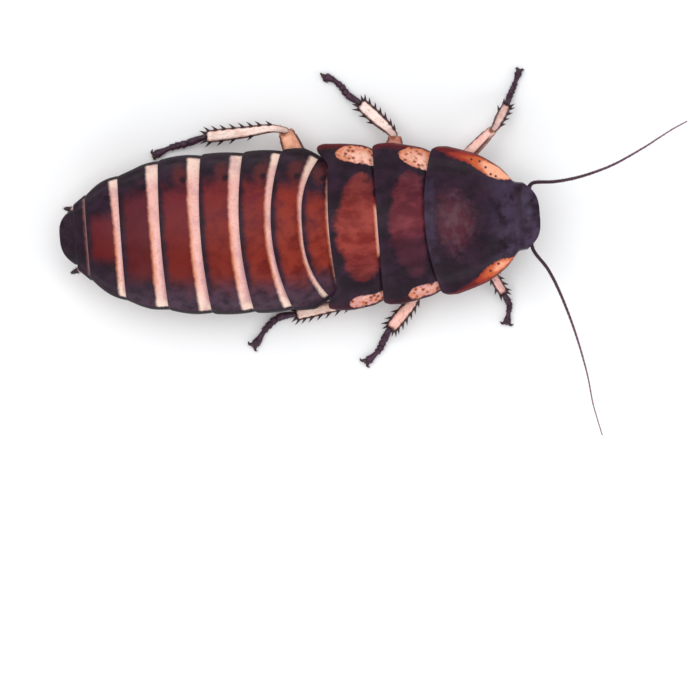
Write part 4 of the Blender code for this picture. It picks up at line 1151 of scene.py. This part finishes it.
# Places of the spines along the front edge, the rear edge and the lower face.
SHIN_SPINES = {
    "hind_left": (
        [0.22, 0.34, 0.44, 0.54, 0.65, 0.76, 0.86, 0.95], [0.45, 0.66, 0.8, 0.94], [0.4, 0.65, 0.9],
    ),
    "hind_right": (
        [0.2, 0.33, 0.45, 0.57, 0.68, 0.79, 0.88, 0.96], [0.5, 0.7, 0.86, 0.97], [0.4, 0.65, 0.9],
    ),
    "mid_left": ([0.14, 0.26, 0.42, 0.56, 0.7, 0.85, 0.96], [0.55, 0.74, 0.92], [0.45, 0.75]),
    "mid_right": ([0.2, 0.34, 0.48, 0.62, 0.75, 0.88, 0.96], [0.4, 0.62, 0.8, 0.93], [0.45, 0.75]),
    "front_left": ([0.34, 0.54, 0.74, 0.92], [0.72], [0.6, 0.85]),
    "front_right": ([0.3, 0.5, 0.7, 0.9], [0.45, 0.75], [0.6, 0.85]),
}
# How far each of those rows stands out to the side and up, and the length of its spines.
SPINE_ROWS = ((0.93, 0.1, 1.0), (-0.93, 0.05, 1.0), (-0.2, -0.95, 0.7))
SPUR_ANGLES = (0.6, 1.7, 2.6, 3.9, 5.2)
SPINE_GIRTHS = [2.1, 1.75, 1.3, 0.98, 0.74, 0.5, 0.26, 0.05]
SPINE_THICKNESS = 0.075
SPUR_THICKNESS = 0.07
SPINE_SOCKET = 0.24
SHIN_TAN = (0.76, 0.4, 0.3)
SHIN_WHITE = (1.0, 0.78, 0.7)
# Main colour, second colour, and where across the bar the brown and painted shade of its edges starts and is
# full.
SHIN_COLOURS = {
    "hind_left": (SHIN_WHITE, SHIN_TAN, (0.66, 0.94)), "hind_right": (LEG_CREAM, SHIN_TAN, (0.6, 0.9)),
    "mid_left": (SHIN_WHITE, LEG_PINK, (0.5, 0.86)),
    "mid_right": ((0.97, 0.55, 0.47), (0.62, 0.3, 0.22), (0.58, 0.92)),
    "front_left": ((0.9, 0.62, 0.55), (0.52, 0.26, 0.22), (0.4, 0.86)),
    "front_right": (LEG_PINK, (0.5, 0.24, 0.2), (0.45, 0.9)),
}
SPINE_BLACK = (0.016, 0.004, 0.01)
SPINE_TIP = (0.09, 0.03, 0.07)


def shin_relief(t, angle):
    """Low ridges run down the bar, and the ankle end has a thick rim."""
    return 0.02 * np.cos(6 * angle + 0.6) * smooth_step(0.1, 0.3, t) + 0.035 * bell(0.95, 0.03, t)


def thorn(base, way, bend, length, thickness):
    """A curved spine that stands in a ringed socket."""
    way = unit(way)
    route = [base - way * 0.08, base + way * 0.45 * length, base + way * length + bend * 0.12 * length]
    upright = np.cross(way, bend) + (0.001, 0.002, 0.003)
    return bar(route, SPINE_GIRTHS, SPINE_GIRTHS, upright, rings=18, sides=12, cap=0.5, share=thickness)


spine_shell = Finish("spine_shell", SPINE_BLACK, 0.35, 0.4, 0.1, 0.2)
spine_shell.lay(SPINE_TIP, spine_shell.edge("left", 0.3, 0.02))
spine_shell.lay(LEG_BROWN, spine_shell.clouds(9.0, 0.4, 0.8, 0.5, 3.0))
spine_shell.raised(spine_shell.grain(16.0, 3.0, (1.0, 1.0, 0.3)), 0.008)

for leg, places in LEGS.items():
    knee, ankle = np.array(places.get("shin_top", places["knee"])), np.array(places["ankle"])
    pair = leg.split("_")[0]
    half_widths, spine_length = SHIN_HALF_WIDTHS[pair], SPINE_LENGTHS[pair]
    along = unit(ankle - knee)
    outward = unit(np.array([along[1], -along[0], 0.0]) * np.sign(knee[1]))
    upward = unit(np.cross(along, np.cross(UPRIGHT, along)))
    bow = SHIN_BOWS.get(leg, SHIN_BOW) * outward
    bent, straighter = (knee + t * (ankle - knee) + share * bow for t, share in ((0.2, 1.0), (0.55, 0.45)))
    route = [knee - 0.05 * along, bent, straighter, ankle]
    shin = bar(route, half_widths, SHIN_HALF_HEIGHTS, rings=64, sides=40, relief=shin_relief)
    spines, roots = [], []
    for row, (across_share, up_share, length_share) in zip(SHIN_SPINES[leg], SPINE_ROWS):
        for number, place in enumerate(row):
            sideways = across_share * outward * even_curve(half_widths)(place)
            spread = sideways + up_share * upward * even_curve(SHIN_HALF_HEIGHTS)(place)
            stand = unit(spread)
            length = length_share * spine_length * (0.82 + 0.3 * place + 0.08 * math.sin(7.0 * number))
            roots.append(smooth_route(route, [place])[0][0] + 0.95 * spread)
            way, bend = stand + 0.85 * along, along - 0.3 * stand
            spines.append(thorn(roots[-1], way, bend, length, SPINE_THICKNESS))
    for spur_angle in SPUR_ANGLES:
        stand = math.cos(spur_angle) * outward + math.sin(spur_angle) * upward
        roots.append(ankle - 0.06 * along + 0.3 * stand)
        spines.append(thorn(roots[-1], 0.75 * stand + along, along, 0.85 * spine_length, SPUR_THICKNESS))
    reach = np.linalg.norm(shin[0][:, None] - np.array(roots)[None], axis=2).min(axis=1)
    shin[2]["spine"] = SPINE_SOCKET - reach
    pale, dark, edges = SHIN_COLOURS[leg]
    piece = make_piece("shin_" + leg, [shin])
    shin_shell = leg_finish("shin_shell_" + leg, pale, dark, 0.4, 1.0, edges=edges, start=SHIN_KNEE_REACH)
    shin_shell.dress(piece, "leg_shell")
    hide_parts("tibia_" + leg)
    spine_shell.dress(make_piece("shin_spines_" + leg, spines), "foot_shell")

# Feet
# Each foot has five dark joints, the first long, the next three short and the last a slim club
# with two hooked claws. Pale pads under the joints and between the claws stand on the ground.
SHORT_JOINT_SHAPE = [0.84, 0.92, 0.99, 1.06, 1.12, 0.98]
# For each joint: its ends along the foot, its half width, and its shape from end to end.
FOOT_JOINTS = [
    (0.0, 0.36, 0.24, [0.78, 0.86, 0.94, 1.0, 1.06, 0.98]),
    (0.36, 0.48, 0.235, SHORT_JOINT_SHAPE),
    (0.48, 0.59, 0.225, SHORT_JOINT_SHAPE),
    (0.59, 0.69, 0.21, SHORT_JOINT_SHAPE),
    (0.69, 1.0, 0.22, [0.76, 0.74, 0.86, 1.06, 1.3, 1.34]),
]
FOOT_SHARES = {"hind": 1.0, "mid": 1.0, "front": 0.86}
FOOT_OVERLAP = 0.014
FOOT_FLATNESS = 0.85
PAD_HALF_LENGTH = 0.18
PAD_HALF_WIDTH = 0.15
TOE_PAD_HALF_SIZES = (0.13, 0.13, 0.1)
CLAW_REACH = 0.92
CLAW_THICKNESS = 0.11
CLAW_GIRTHS = [1.4, 1.3, 1.05, 0.76, 0.46, 0.08]
FOOT_DARK = (0.024, 0.007, 0.018)
FOOT_MAUVE = (0.075, 0.024, 0.056)
PAD_PALE = (0.4, 0.22, 0.2)


def level_turn(way):
    """The matrix that turns +X to a direction's heading."""
    return np.array(Matrix.Rotation(math.atan2(way[1], way[0]), 3, "Z"))


def pad_relief(ball):
    return -0.1 * hump(0.0, 0.3, ball[..., 1])


foot_shell = Finish("foot_shell", FOOT_DARK, 0.42, 0.3, 0.04, 0.3)
foot_shell.lay(FOOT_MAUVE, foot_shell.clouds(3.0, 0.35, 0.7, detail=5.0))
foot_shell.lay(LEG_RUST, foot_shell.edge("run", 0.07, 0.0), 0.35)
foot_shell.raised(foot_shell.grain(18.0, 4.0), 0.012)
pad_skin = Finish("foot_pads", PAD_PALE, roughness=0.6, specular=0.3)
pad_skin.lay(FOOT_MAUVE, pad_skin.clouds(6.0, 0.3, 0.7))
pad_skin.raised(pad_skin.grain(20.0, 3.0), 0.015)

for leg, places in LEGS.items():
    route = [places["ankle"], *places["foot"]]
    joints, pads, claws = [], [], []
    for low, high, half_width, shape in FOOT_JOINTS:
        ends = (max(0.0, low - FOOT_OVERLAP), min(1.0, high + FOOT_OVERLAP))
        stretch, _ = smooth_route(route, np.linspace(*ends, 5))
        flat_shape = [FOOT_FLATNESS * girth for girth in shape]
        share = half_width * FOOT_SHARES[leg.split("_")[0]]
        joints.append(bar(stretch, shape, flat_shape, rings=24, sides=20, cap=0.7, share=share))
        middle = stretch[4] if high == 1.0 else stretch[3]
        if middle[2] < 0.5:
            rise = max(0.06, (middle[2] - 0.06) / 2)
            half_sizes = (PAD_HALF_LENGTH, PAD_HALF_WIDTH, rise)
            turn = level_turn(stretch[4] - stretch[2])
            pads.append(bead((*middle[:2], rise), half_sizes, turn, relief=pad_relief))
    end = np.array(places["foot"][-1])
    way = unit(end - places["foot"][-2])
    for claw in places["claws"]:
        out = CLAW_REACH * (np.array(claw) - end)
        bow = end + 0.6 * out + 0.13 * way + (0.0, 0.0, 0.08)
        claws.append(bar(
            [end - 0.08 * way + 0.06 * out, bow, end + out], CLAW_GIRTHS, CLAW_GIRTHS, rings=20, sides=12,
            cap=0.5, floor=0.0, share=CLAW_THICKNESS,
        ))
    pads.append(bead(end + 0.1 * way + (0.0, 0.0, -0.07), TOE_PAD_HALF_SIZES, level_turn(way)))
    piece = make_piece("foot_" + leg, joints)
    foot_shell.dress(piece, "foot_shell")
    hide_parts("tarsus_" + leg)
    spine_shell.dress(make_piece("claws_" + leg, claws), "foot_shell")
    pad_skin.dress(make_piece("pads_" + leg, pads), "foot_shell")

# Head
# The head is one hard capsule, broad and dark above and redder towards the mouth, that hangs face
# forward under the hood. It has sunk rings round the eyes and feelers, a fine seam down the brow
# and a pale spot inside each feeler's socket.
HEAD_MIDDLE = (14.2, -0.2, 2.5)
HEAD_TILT = math.radians(25.0)
HEAD_HALF_SIZES = (0.92, 1.62, 1.85)
HEAD_WIDTHS = [(-1.0, 0.5), (-0.75, 0.6), (-0.3, 0.8), (0.2, 0.98), (0.6, 1.03), (1.0, 0.95)]
HEAD_DEPTHS = [(-1.0, 0.6), (-0.5, 0.85), (0.1, 1.0), (0.6, 1.0), (1.0, 0.85)]
EYE_PLACE = (0.05, 1.48, 0.62)
EYE_HALF_SIZES = (0.5, 0.3, 0.72)
SOCKET_PLACE = (0.86, 0.8, 0.93)
SOCKET_REACH = 0.38
BROW_SPOT = (0.93, 0.4, 1.02)
BROW_SPOT_REACH = 0.13
HEAD_ROWS = 150
HEAD_COLUMNS = 180
HEAD_BROWN = (0.05, 0.015, 0.018)
FACE_RED = (0.2, 0.05, 0.022)
SOCKET_TAN = (0.45, 0.22, 0.14)
SPOT_CREAM = (0.72, 0.5, 0.32)
head_turn = np.array(Matrix.Rotation(HEAD_TILT, 3, "Y"))


def head_shape(shape, mirror=1.0):
    """A shape made with the face towards +X, or its mirror image, put in place on the tilted head."""
    points, faces, measures = shape
    return (points * (1.0, mirror, 1.0)) @ head_turn.T + HEAD_MIDDLE, faces, measures


def head_capsule():
    out = ball_grid(HEAD_ROWS, HEAD_COLUMNS)
    rise = out[..., 2]
    depth = HEAD_HALF_SIZES[0] * smooth_curve(HEAD_DEPTHS)(rise)
    width = HEAD_HALF_SIZES[1] * smooth_curve(HEAD_WIDTHS)(rise)
    points = out * np.stack([depth, width, HEAD_HALF_SIZES[2] + 0 * rise], axis=-1)
    x, y, z = points[..., 0], points[..., 1], points[..., 2]
    face = smooth_step(0.0, 0.4, x)
    # The seams across and down the brow and along both cheeks, then the swell of brow and cheeks.
    relief = -0.035 * bell(-0.6, 0.045, z) * (np.abs(y) < 0.72) * face
    relief -= 0.022 * bell(0.0, 0.03, y) * face * smooth_step(0.0, 0.3, z)
    relief -= 0.02 * bell(0.3, 0.035, np.abs(y) - 0.35 * (z + 0.6)) * face * (z > -0.6) * (z < 0.7)
    relief += 0.05 * bell(0.15, 0.35, z) * bell(0.0, 0.5, y) * face
    relief += 0.07 * bell(-0.55, 0.3, z) * bell(1.05, 0.3, np.abs(y))
    spots, sockets = [], []
    for side in (-1, 1):
        mirror = np.array((1.0, side, 1.0))
        eye_reach = np.linalg.norm((points - EYE_PLACE * mirror) / EYE_HALF_SIZES, axis=-1)
        relief += 0.025 * bell(1.42, 0.1, eye_reach) - 0.05 * bell(1.22, 0.1, eye_reach)
        relief -= 0.12 * smooth_step(1.12, 0.95, eye_reach)
        socket_reach = np.linalg.norm(points - SOCKET_PLACE * mirror, axis=-1)
        relief += 0.07 * bell(0.31, 0.06, socket_reach) - 0.16 * smooth_step(0.27, 0.15, socket_reach)
        spots.append(BROW_SPOT_REACH - np.linalg.norm(points - BROW_SPOT * mirror, axis=-1))
        sockets.append(SOCKET_REACH - socket_reach)
    points = (points + out * relief[..., None]).reshape(-1, 3)
    measures = {"low": z, "spot": np.maximum(*spots), "socket": np.maximum(*sockets)}
    return points, grid_faces(HEAD_ROWS, HEAD_COLUMNS), measures


head = make_piece("head_capsule", [head_shape(head_capsule())])
shell = Finish("head_shell", SHELL_BLACK, roughness=0.35, specular=0.45, coat=0.2, coat_roughness=0.2)
shell.lay(HEAD_BROWN, shell.clouds(1.5, detail=5.0))
shell.lay(FACE_RED, shell.edge("low", 0.3, -0.7, 1.6, 0.6), 0.9)
shell.lay(SOCKET_TAN, shell.edge("socket", -0.03, 0.07, 5.0, 0.06, 3.0))
shell.lay(SPOT_CREAM, shell.edge("spot", 0.0, 0.03, 6.0, 0.04, 3.0))
shell.raised(shell.grain(8.0, 4.0), 0.014)
shell.raised(shell.step(shell.pits(8.0), 0.0, 0.12), 0.01)
shell.dress(head, "dark_shell")
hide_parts("head")

# Mouthparts
# Below the brow hang the clypeus, a short stiff plate, and the labrum, a thin lip. Behind them
# close two black jaws, then the softer maxillae and the lower lip with their jointed palps, which
# end in pale pads.
FACE_WARD = (1.0, 0.0, 0.0)
# Route, half widths, half heights and rings of each middle plate, and of one jaw and one maxilla.
MOUTH_PLATES = {
    "clypeus": (
        [(0.72, 0, -0.58), (0.66, 0, -0.85), (0.54, 0, -1.14)], [0.6, 0.66, 0.62, 0.52],
        [0.1, 0.14, 0.14, 0.12], FACE_WARD, 26,
    ),
    "labrum": (
        [(0.56, 0, -1.1), (0.5, 0, -1.42), (0.36, 0, -1.8)], [0.46, 0.52, 0.5, 0.42, 0.3],
        [0.09, 0.1, 0.1, 0.09, 0.07], FACE_WARD, 30,
    ),
    "lower_lip": (
        [(-0.42, 0, -0.72), (-0.34, 0, -1.2), (-0.1, 0, -1.68)], [0.5, 0.5, 0.44, 0.3],
        [0.12, 0.14, 0.13, 0.1], FACE_WARD, 30,
    ),
}
JAW = (
    [(0.12, 0.84, -0.8), (0.42, 0.72, -1.22), (0.42, 0.34, -1.6), (0.36, 0.04, -1.72)],
    [0.2, 0.28, 0.28, 0.22, 0.08], [0.22, 0.26, 0.24, 0.18, 0.08], FACE_WARD, 44,
)
MAXILLA = (
    [(-0.12, 0.66, -0.86), (0.04, 0.6, -1.32), (0.12, 0.24, -1.74)], [0.15, 0.19, 0.18, 0.12],
    [0.14, 0.16, 0.15, 0.1], FACE_WARD, 30,
)
# Ends and girths of the joints of the long and the short palp, and the rings and sides of each joint.
PALPS = (
    (
        [
            (-0.1, 0.6, -0.95), (0.05, 0.78, -1.03), (0.22, 0.94, -1.06), (0.7, 1.13, -1.02),
            (1.06, 1.14, -1.05), (1.4, 0.99, -1.22),
        ],
        [
            [0.1, 0.11, 0.11], [0.1, 0.11, 0.12], [0.08, 0.1, 0.13], [0.08, 0.1, 0.13],
            [0.09, 0.14, 0.16, 0.12],
        ],
        20, 18,
    ),
    (
        [(-0.2, 0.28, -1.3), (-0.08, 0.48, -1.48), (0.12, 0.6, -1.6), (0.38, 0.58, -1.7)],
        [[0.07, 0.08, 0.08], [0.06, 0.08, 0.09], [0.07, 0.1, 0.08]], 16, 16,
    ),
)
MOUTH_AMBER = (0.42, 0.17, 0.07)
MOUTH_BROWN = (0.14, 0.035, 0.02)
LIP_EDGE = (0.6, 0.35, 0.2)
JAW_BLACK = (0.01, 0.004, 0.004)
JAW_RED = (0.16, 0.03, 0.015)
PALP_TAN = (0.32, 0.13, 0.08)
PALP_BROWN = (0.14, 0.045, 0.035)
PALP_TIP = (0.62, 0.42, 0.3)


def face_groove(t, angle):
    return -0.03 * bell(0.0, 0.1, np.cos(angle)) * (np.sin(angle) > 0)


def jaw_teeth(t, angle):
    return 0.05 * np.cos(t * 26.0) * smooth_step(0.55, 0.75, t) * (1 - smooth_step(0.9, 1.0, t))


lip_shell = Finish("lip_shell", MOUTH_AMBER, roughness=0.38, specular=0.4, coat=0.15, coat_roughness=0.25)
lip_shell.lay(MOUTH_BROWN, lip_shell.clouds(3.0, detail=5.0))
lip_shell.lay(LIP_EDGE, lip_shell.edge("left", 0.25, 0.05))
lip_shell.raised(lip_shell.grain(14.0, 4.0), 0.012)
jaw_shell = Finish("jaw_shell", JAW_BLACK, roughness=0.3, specular=0.5, coat=0.2, coat_roughness=0.15)
jaw_shell.lay(JAW_RED, jaw_shell.edge("left", 0.2, 0.65, 4.0, 0.3, 3.0))
jaw_shell.raised(jaw_shell.grain(14.0), 0.01)
palp_shell = Finish("palp_shell", PALP_TAN, roughness=0.48, specular=0.35)
palp_shell.lay(PALP_BROWN, palp_shell.clouds(4.0, 0.3, 0.7, detail=5.0))
palp_shell.lay(PALP_TIP, palp_shell.edge("left", 0.16, 0.04))
palp_shell.raised(palp_shell.grain(20.0, 4.0), 0.012)

for name, sizes in MOUTH_PLATES.items():
    plate = head_shape(bar(*sizes, sides=40, relief=face_groove))
    lip_shell.dress(make_piece(name, [plate]), "dark_shell")
palp_joints = [
    bar([start, end], girths, girths, rings=rings, sides=sides)
    for stops, joints, rings, sides in PALPS
    for start, end, girths in zip(stops, stops[1:], joints)
]
for name, shapes, finish in (
    ("jaws", [bar(*JAW, sides=24, relief=jaw_teeth)], jaw_shell),
    ("maxillae", [bar(*MAXILLA, sides=20)], palp_shell),
    ("palps", palp_joints, palp_shell),
):
    pair = [head_shape(shape, side) for side in (-1, 1) for shape in shapes]
    finish.dress(make_piece(name, pair), "dark_shell")

# Eyes
# Each compound eye is a glossy black kidney of some two thousand lenses, notched where it meets
# the feeler's socket. Every lens is a small dome of clear shell in a honeycomb.
EYE_LENS_SUBDIVISIONS = 5
EYE_SKIN_SUBDIVISIONS = 7
EYE_LENS_REACH = 0.043
EYE_LENS_HEIGHT = 0.016
EYE_INNER_EDGE = -0.45
EYE_BLACK = (0.006, 0.004, 0.006)
EYE_BROWN = (0.03, 0.012, 0.01)


def ball_mesh(subdivisions):
    bm = bmesh.new()
    bmesh.ops.create_icosphere(bm, subdivisions=subdivisions, radius=1.0)
    ball = np.array([vert.co[:] for vert in bm.verts])
    faces = np.array([[vert.index for vert in face.verts] for face in bm.faces])
    bm.free()
    return ball, faces


def eye_shape():
    lenses, _ = ball_mesh(EYE_LENS_SUBDIVISIONS)
    ball, faces = ball_mesh(EYE_SKIN_SUBDIVISIONS)
    tree = KDTree(len(lenses))
    for number, lens in enumerate(lenses):
        tree.insert(lens, number)
    tree.balance()
    reach = np.array([tree.find(point)[2] for point in ball])
    dome = EYE_LENS_HEIGHT * np.maximum(0.0, 1 - (reach / EYE_LENS_REACH) ** 2)
    notch = 0.22 * bell(0.9, 0.35, ball[:, 0]) * bell(0.35, 0.3, ball[:, 2])
    points = ball * (1 + dome - notch)[:, None] * EYE_HALF_SIZES
    shown = (ball[faces][:, :, 1] > EYE_INNER_EDGE).all(axis=1)
    kept = np.unique(faces[shown])
    order = np.full(len(ball), -1)
    order[kept] = np.arange(len(kept))
    return points[kept] + EYE_PLACE, order[faces[shown]], {"lens": reach[kept]}


lenses = Finish("eye_lenses", EYE_BLACK, roughness=0.2, specular=0.5, coat=0.4, coat_roughness=0.08)
lenses.lay(EYE_BROWN, lenses.edge("lens", 0.03, 0.042))
lenses.lay(EYE_BROWN, lenses.clouds(2.0, 0.4, 0.8, 0.5))
one_eye = eye_shape()
for name, side in (("left", 1.0), ("right", -1.0)):
    eye = make_piece("compound_eye_" + name, [head_shape(one_eye, side)])
    lenses.dress(eye, "eye")
    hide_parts("eye_" + name)

# Feelers
# Each feeler is a thick first joint in its socket, a short second one, and a whip of some sixty
# small joints that thins to a thread. The joints are dark, with a pale ring of soft skin between
# them, and turn paler towards the tip.
FEELERS = {
    "left": [
        (15.2, 0.6, 2.98), (15.33, 1.2, 3.05), (15.46, 1.68, 3.13), (15.85, 1.93, 3.28), (17.2, 1.88, 3.75),
        (18.9, 2.08, 4.2), (21.0, 2.66, 4.45), (23.1, 3.62, 4.35), (25.1, 4.7, 4.0), (26.26, 5.23, 3.75),
    ],
    "right": [
        (15.2, -1.0, 2.98), (15.36, -1.6, 3.05), (15.32, -2.2, 3.15), (15.55, -2.82, 3.3),
        (16.3, -3.95, 3.7), (17.0, -5.67, 4.1), (17.75, -8.2, 4.4), (18.34, -11.0, 4.35),
        (18.6, -13.1, 4.05), (19.06, -15.2, 3.7),
    ],
}
# Girth (half thickness) of the whip, by the distance from the root.
FEELER_GIRTHS = [
    (0.0, 0.19), (0.7, 0.2), (0.85, 0.15), (1.1, 0.15), (1.3, 0.125), (4.0, 0.105), (8.0, 0.075),
    (12.0, 0.045), (16.5, 0.028),
]
# Ends of the first two joints, and the length of a whip joint near the root and further out.
FIRST_JOINTS = [0.0, 0.78, 1.1]
WHIP_JOINT_LENGTHS = (0.1, 0.3)
# Rings of one joint: the place along it, and its girth there as a share of the whip's.
JOINT_RINGS = ((0.02, 0.8), (0.12, 0.97), (0.5, 1.0), (0.86, 1.07), (0.98, 0.86))
FEELER_SIDES = 12
FEELER_DARK = (0.035, 0.012, 0.026)
FEELER_MAUVE = (0.24, 0.1, 0.18)


def feeler_shape(route):
    _, length = smooth_route(route, [1.0])
    cuts = list(FIRST_JOINTS)
    while cuts[-1] < length - 0.2:
        cuts.append(cuts[-1] + blend(*WHIP_JOINT_LENGTHS, float(smooth_step(1.0, 7.0, cuts[-1]))))
    cuts[-1] = length
    joints = zip(cuts, cuts[1:])
    rings = [(blend(*ends, along) / length, share) for ends in joints for along, share in JOINT_RINGS]
    places, shares = np.array([(0.0, 0.3), *rings, (1.0, 0.3)]).T
    girths = smooth_curve(FEELER_GIRTHS)(places * length) * shares
    shape = bar(
        route, [0.0, 0.0], [0.0, 0.0], rings=places, sides=FEELER_SIDES,
        relief=lambda t, angle: np.interp(t, places, girths),
    )
    shape[2]["joint"] = np.repeat(shares[:, None], FEELER_SIDES, axis=1)
    return shape


shell = Finish("feeler_shell", FEELER_DARK, roughness=0.45, specular=0.35)
shell.lay(FEELER_MAUVE, shell.edge("run", 3.0, 15.0))
shell.lay(LEG_BROWN, shell.clouds(9.0, 0.45, 0.75, 0.4))
shell.lay(LEG_RUST, shell.edge("joint", 0.88, 0.8), 0.6)
shell.raised(shell.grain(24.0), 0.006)
for side, route in FEELERS.items():
    feeler = make_piece("feeler_" + side, [feeler_shape(route)])
    shell.dress(feeler, "feeler")
    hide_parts(f"antenna_base_{side}", f"antenna_middle_{side}", f"antenna_tip_{side}")

# Tail feelers
# The two cerci are short cones of nine dark joints that stick out from below the tail plate, each
# with a pale patch of soft skin at its root.
TAIL_FEELERS = {
    "left": [(-14.35, 2.25, 2.44), (-15.0, 2.42, 2.47), (-15.6, 2.57, 2.5)],
    "right": [(-14.2, -1.36, 2.44), (-14.83, -1.58, 2.47), (-15.45, -1.77, 2.5)],
}
TAIL_FEELER_GIRTHS = [0.22, 0.26, 0.25, 0.21, 0.15, 0.08]
TAIL_FEELER_JOINTS = 9
TAIL_SPOT = (0.66, 0.44, 0.42)


def tail_joints(t, angle):
    return 0.022 * np.cos(2 * np.pi * TAIL_FEELER_JOINTS * t) * (1 - 0.5 * t)


for side, route in TAIL_FEELERS.items():
    cone = bar(route, TAIL_FEELER_GIRTHS, TAIL_FEELER_GIRTHS, rings=72, sides=28, relief=tail_joints)
    tail_feeler = make_piece("tail_feeler_" + side, [cone])
    shell = Finish("tail_feeler_shell_" + side, SHELL_BLACK, roughness=0.42, specular=0.4)
    shell.lay(SHELL_PURPLE, shell.clouds(4.0))
    spot = shell.ragged("run", 5.0, 0.3, 3.0)
    shell.lay(TAIL_SPOT, shell.step(spot, 0.86, 0.72), shell.step(spot, 0.36, 0.48))
    shell.raised(shell.grain(16.0), 0.01)
    shell.dress(tail_feeler, "dark_shell")
    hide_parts("cercus_" + side)

# Fine hairs
# Short stiff hairs stand all over the feet, shins and feelers and thinly on the thighs, the mouth
# and the tail feelers. Each is a tapered dark thread set in the shell.
REARWARD = (-0.9, 0.0, 0.0)
MOUTHWARD = (0.3, 0.0, -0.8)
# Number, length and half thickness of the hairs on each piece, and the way they lean.
BODY_COATS = {
    "feeler_left": (900, 0.07, 0.006, (0.95, 0.3, 0.0)), "feeler_right": (900, 0.07, 0.006, (0.2, -0.9, 0.0)),
    "tail_feeler_left": (90, 0.16, 0.01, REARWARD), "tail_feeler_right": (90, 0.16, 0.01, REARWARD),
    "palps": (260, 0.09, 0.008, MOUTHWARD), "labrum": (60, 0.1, 0.008, MOUTHWARD),
    "head_capsule": (120, 0.08, 0.008, MOUTHWARD), "tail_plate": (70, 0.12, 0.01, REARWARD),
}
# The same for the pieces of a leg, where the hairs lean from the first place to the last.
LEG_COATS = {
    "foot": (240, 0.1, 0.009, "ankle", "foot"), "shin": (130, 0.12, 0.01, "knee", "ankle"),
    "thigh": (80, 0.11, 0.01, "trochanter", "knee"), "hip": (60, 0.1, 0.01, "hip", "trochanter"),
}
HAIR_DARK = (0.03, 0.01, 0.015)
HAIR_TIP = (0.16, 0.07, 0.06)


def hairs(piece, count, length, thickness, lean, seed):
    """Stiff three-sided hairs that stand on a piece and lean one way."""
    rng = np.random.default_rng(seed)
    polygons = piece.data.polygons
    centres, normals, areas = (np.empty(size * len(polygons)) for size in (3, 3, 1))
    for key, column in (("center", centres), ("normal", normals), ("area", areas)):
        polygons.foreach_get(key, column)
    picks = rng.choice(len(polygons), count, p=areas / areas.sum())
    roots = centres.reshape(-1, 3)[picks] / MM - (body_x, body_y, 0.0)
    ways = normals.reshape(-1, 3)[picks] + 0.9 * np.asarray(lean) + rng.normal(0.0, 0.2, (count, 3))
    ways = unit(ways)
    side = unit(np.cross(ways, (0.31, 0.52, 0.8)))
    other = np.cross(ways, side)
    sizes = length * rng.uniform(0.65, 1.25, (count, 1))
    bend = 0.12 * sizes * np.asarray(lean)
    rows = []
    for along, girth in ((-0.1, 1.0), (0.55, 0.7)):
        for corner in range(3):
            angle = math.radians(120.0 * corner)
            spread = thickness * girth * (math.cos(angle) * side + math.sin(angle) * other)
            rows.append(roots + ways * sizes * along + spread + bend * max(0.0, along))
    rows.append(roots + ways * sizes + 2.2 * bend)
    points = np.stack(rows, axis=1)
    points[..., 2] = np.maximum(points[..., 2], 0.01)
    pattern = [(0, 2, 1), (3, 4, 6), (4, 5, 6), (5, 3, 6)]
    for k in range(3):
        pattern += [(k, (k + 1) % 3, (k + 1) % 3 + 3), (k, (k + 1) % 3 + 3, k + 3)]
    faces = (np.arange(count)[:, None, None] * 7 + np.array(pattern)).reshape(-1, 3)
    return points.reshape(-1, 3), faces, {"tip": np.tile([0, 0, 0, 0.5, 0.5, 0.5, 1.0], count)}


hair = Finish("fine_hairs", HAIR_DARK, roughness=0.45, specular=0.35)
hair.lay(HAIR_TIP, hair.measure("tip"))
hair.lay(LEG_BROWN, hair.clouds(6.0, 0.4, 0.8, 0.4, 3.0))
hair.raised(hair.grain(30.0), 0.002)
leg_hairs = []
for number, (leg, places) in enumerate(LEGS.items()):
    for offset, (kind, (count, length, thickness, start, end)) in enumerate(LEG_COATS.items()):
        lean = unit(np.atleast_2d(places[end])[-1] - places[start])
        piece = bpy.data.objects[f"{kind}_{leg}"]
        leg_hairs.append(hairs(piece, count, length, thickness, lean, 10 * number + offset))
hair.dress(make_piece("leg_hairs", leg_hairs), "foot_shell")
coats = enumerate(BODY_COATS.items())
body_hairs = [hairs(bpy.data.objects[name], *coat, 100 + number) for number, (name, coat) in coats]
hair.dress(make_piece("body_hairs", body_hairs), "feeler")
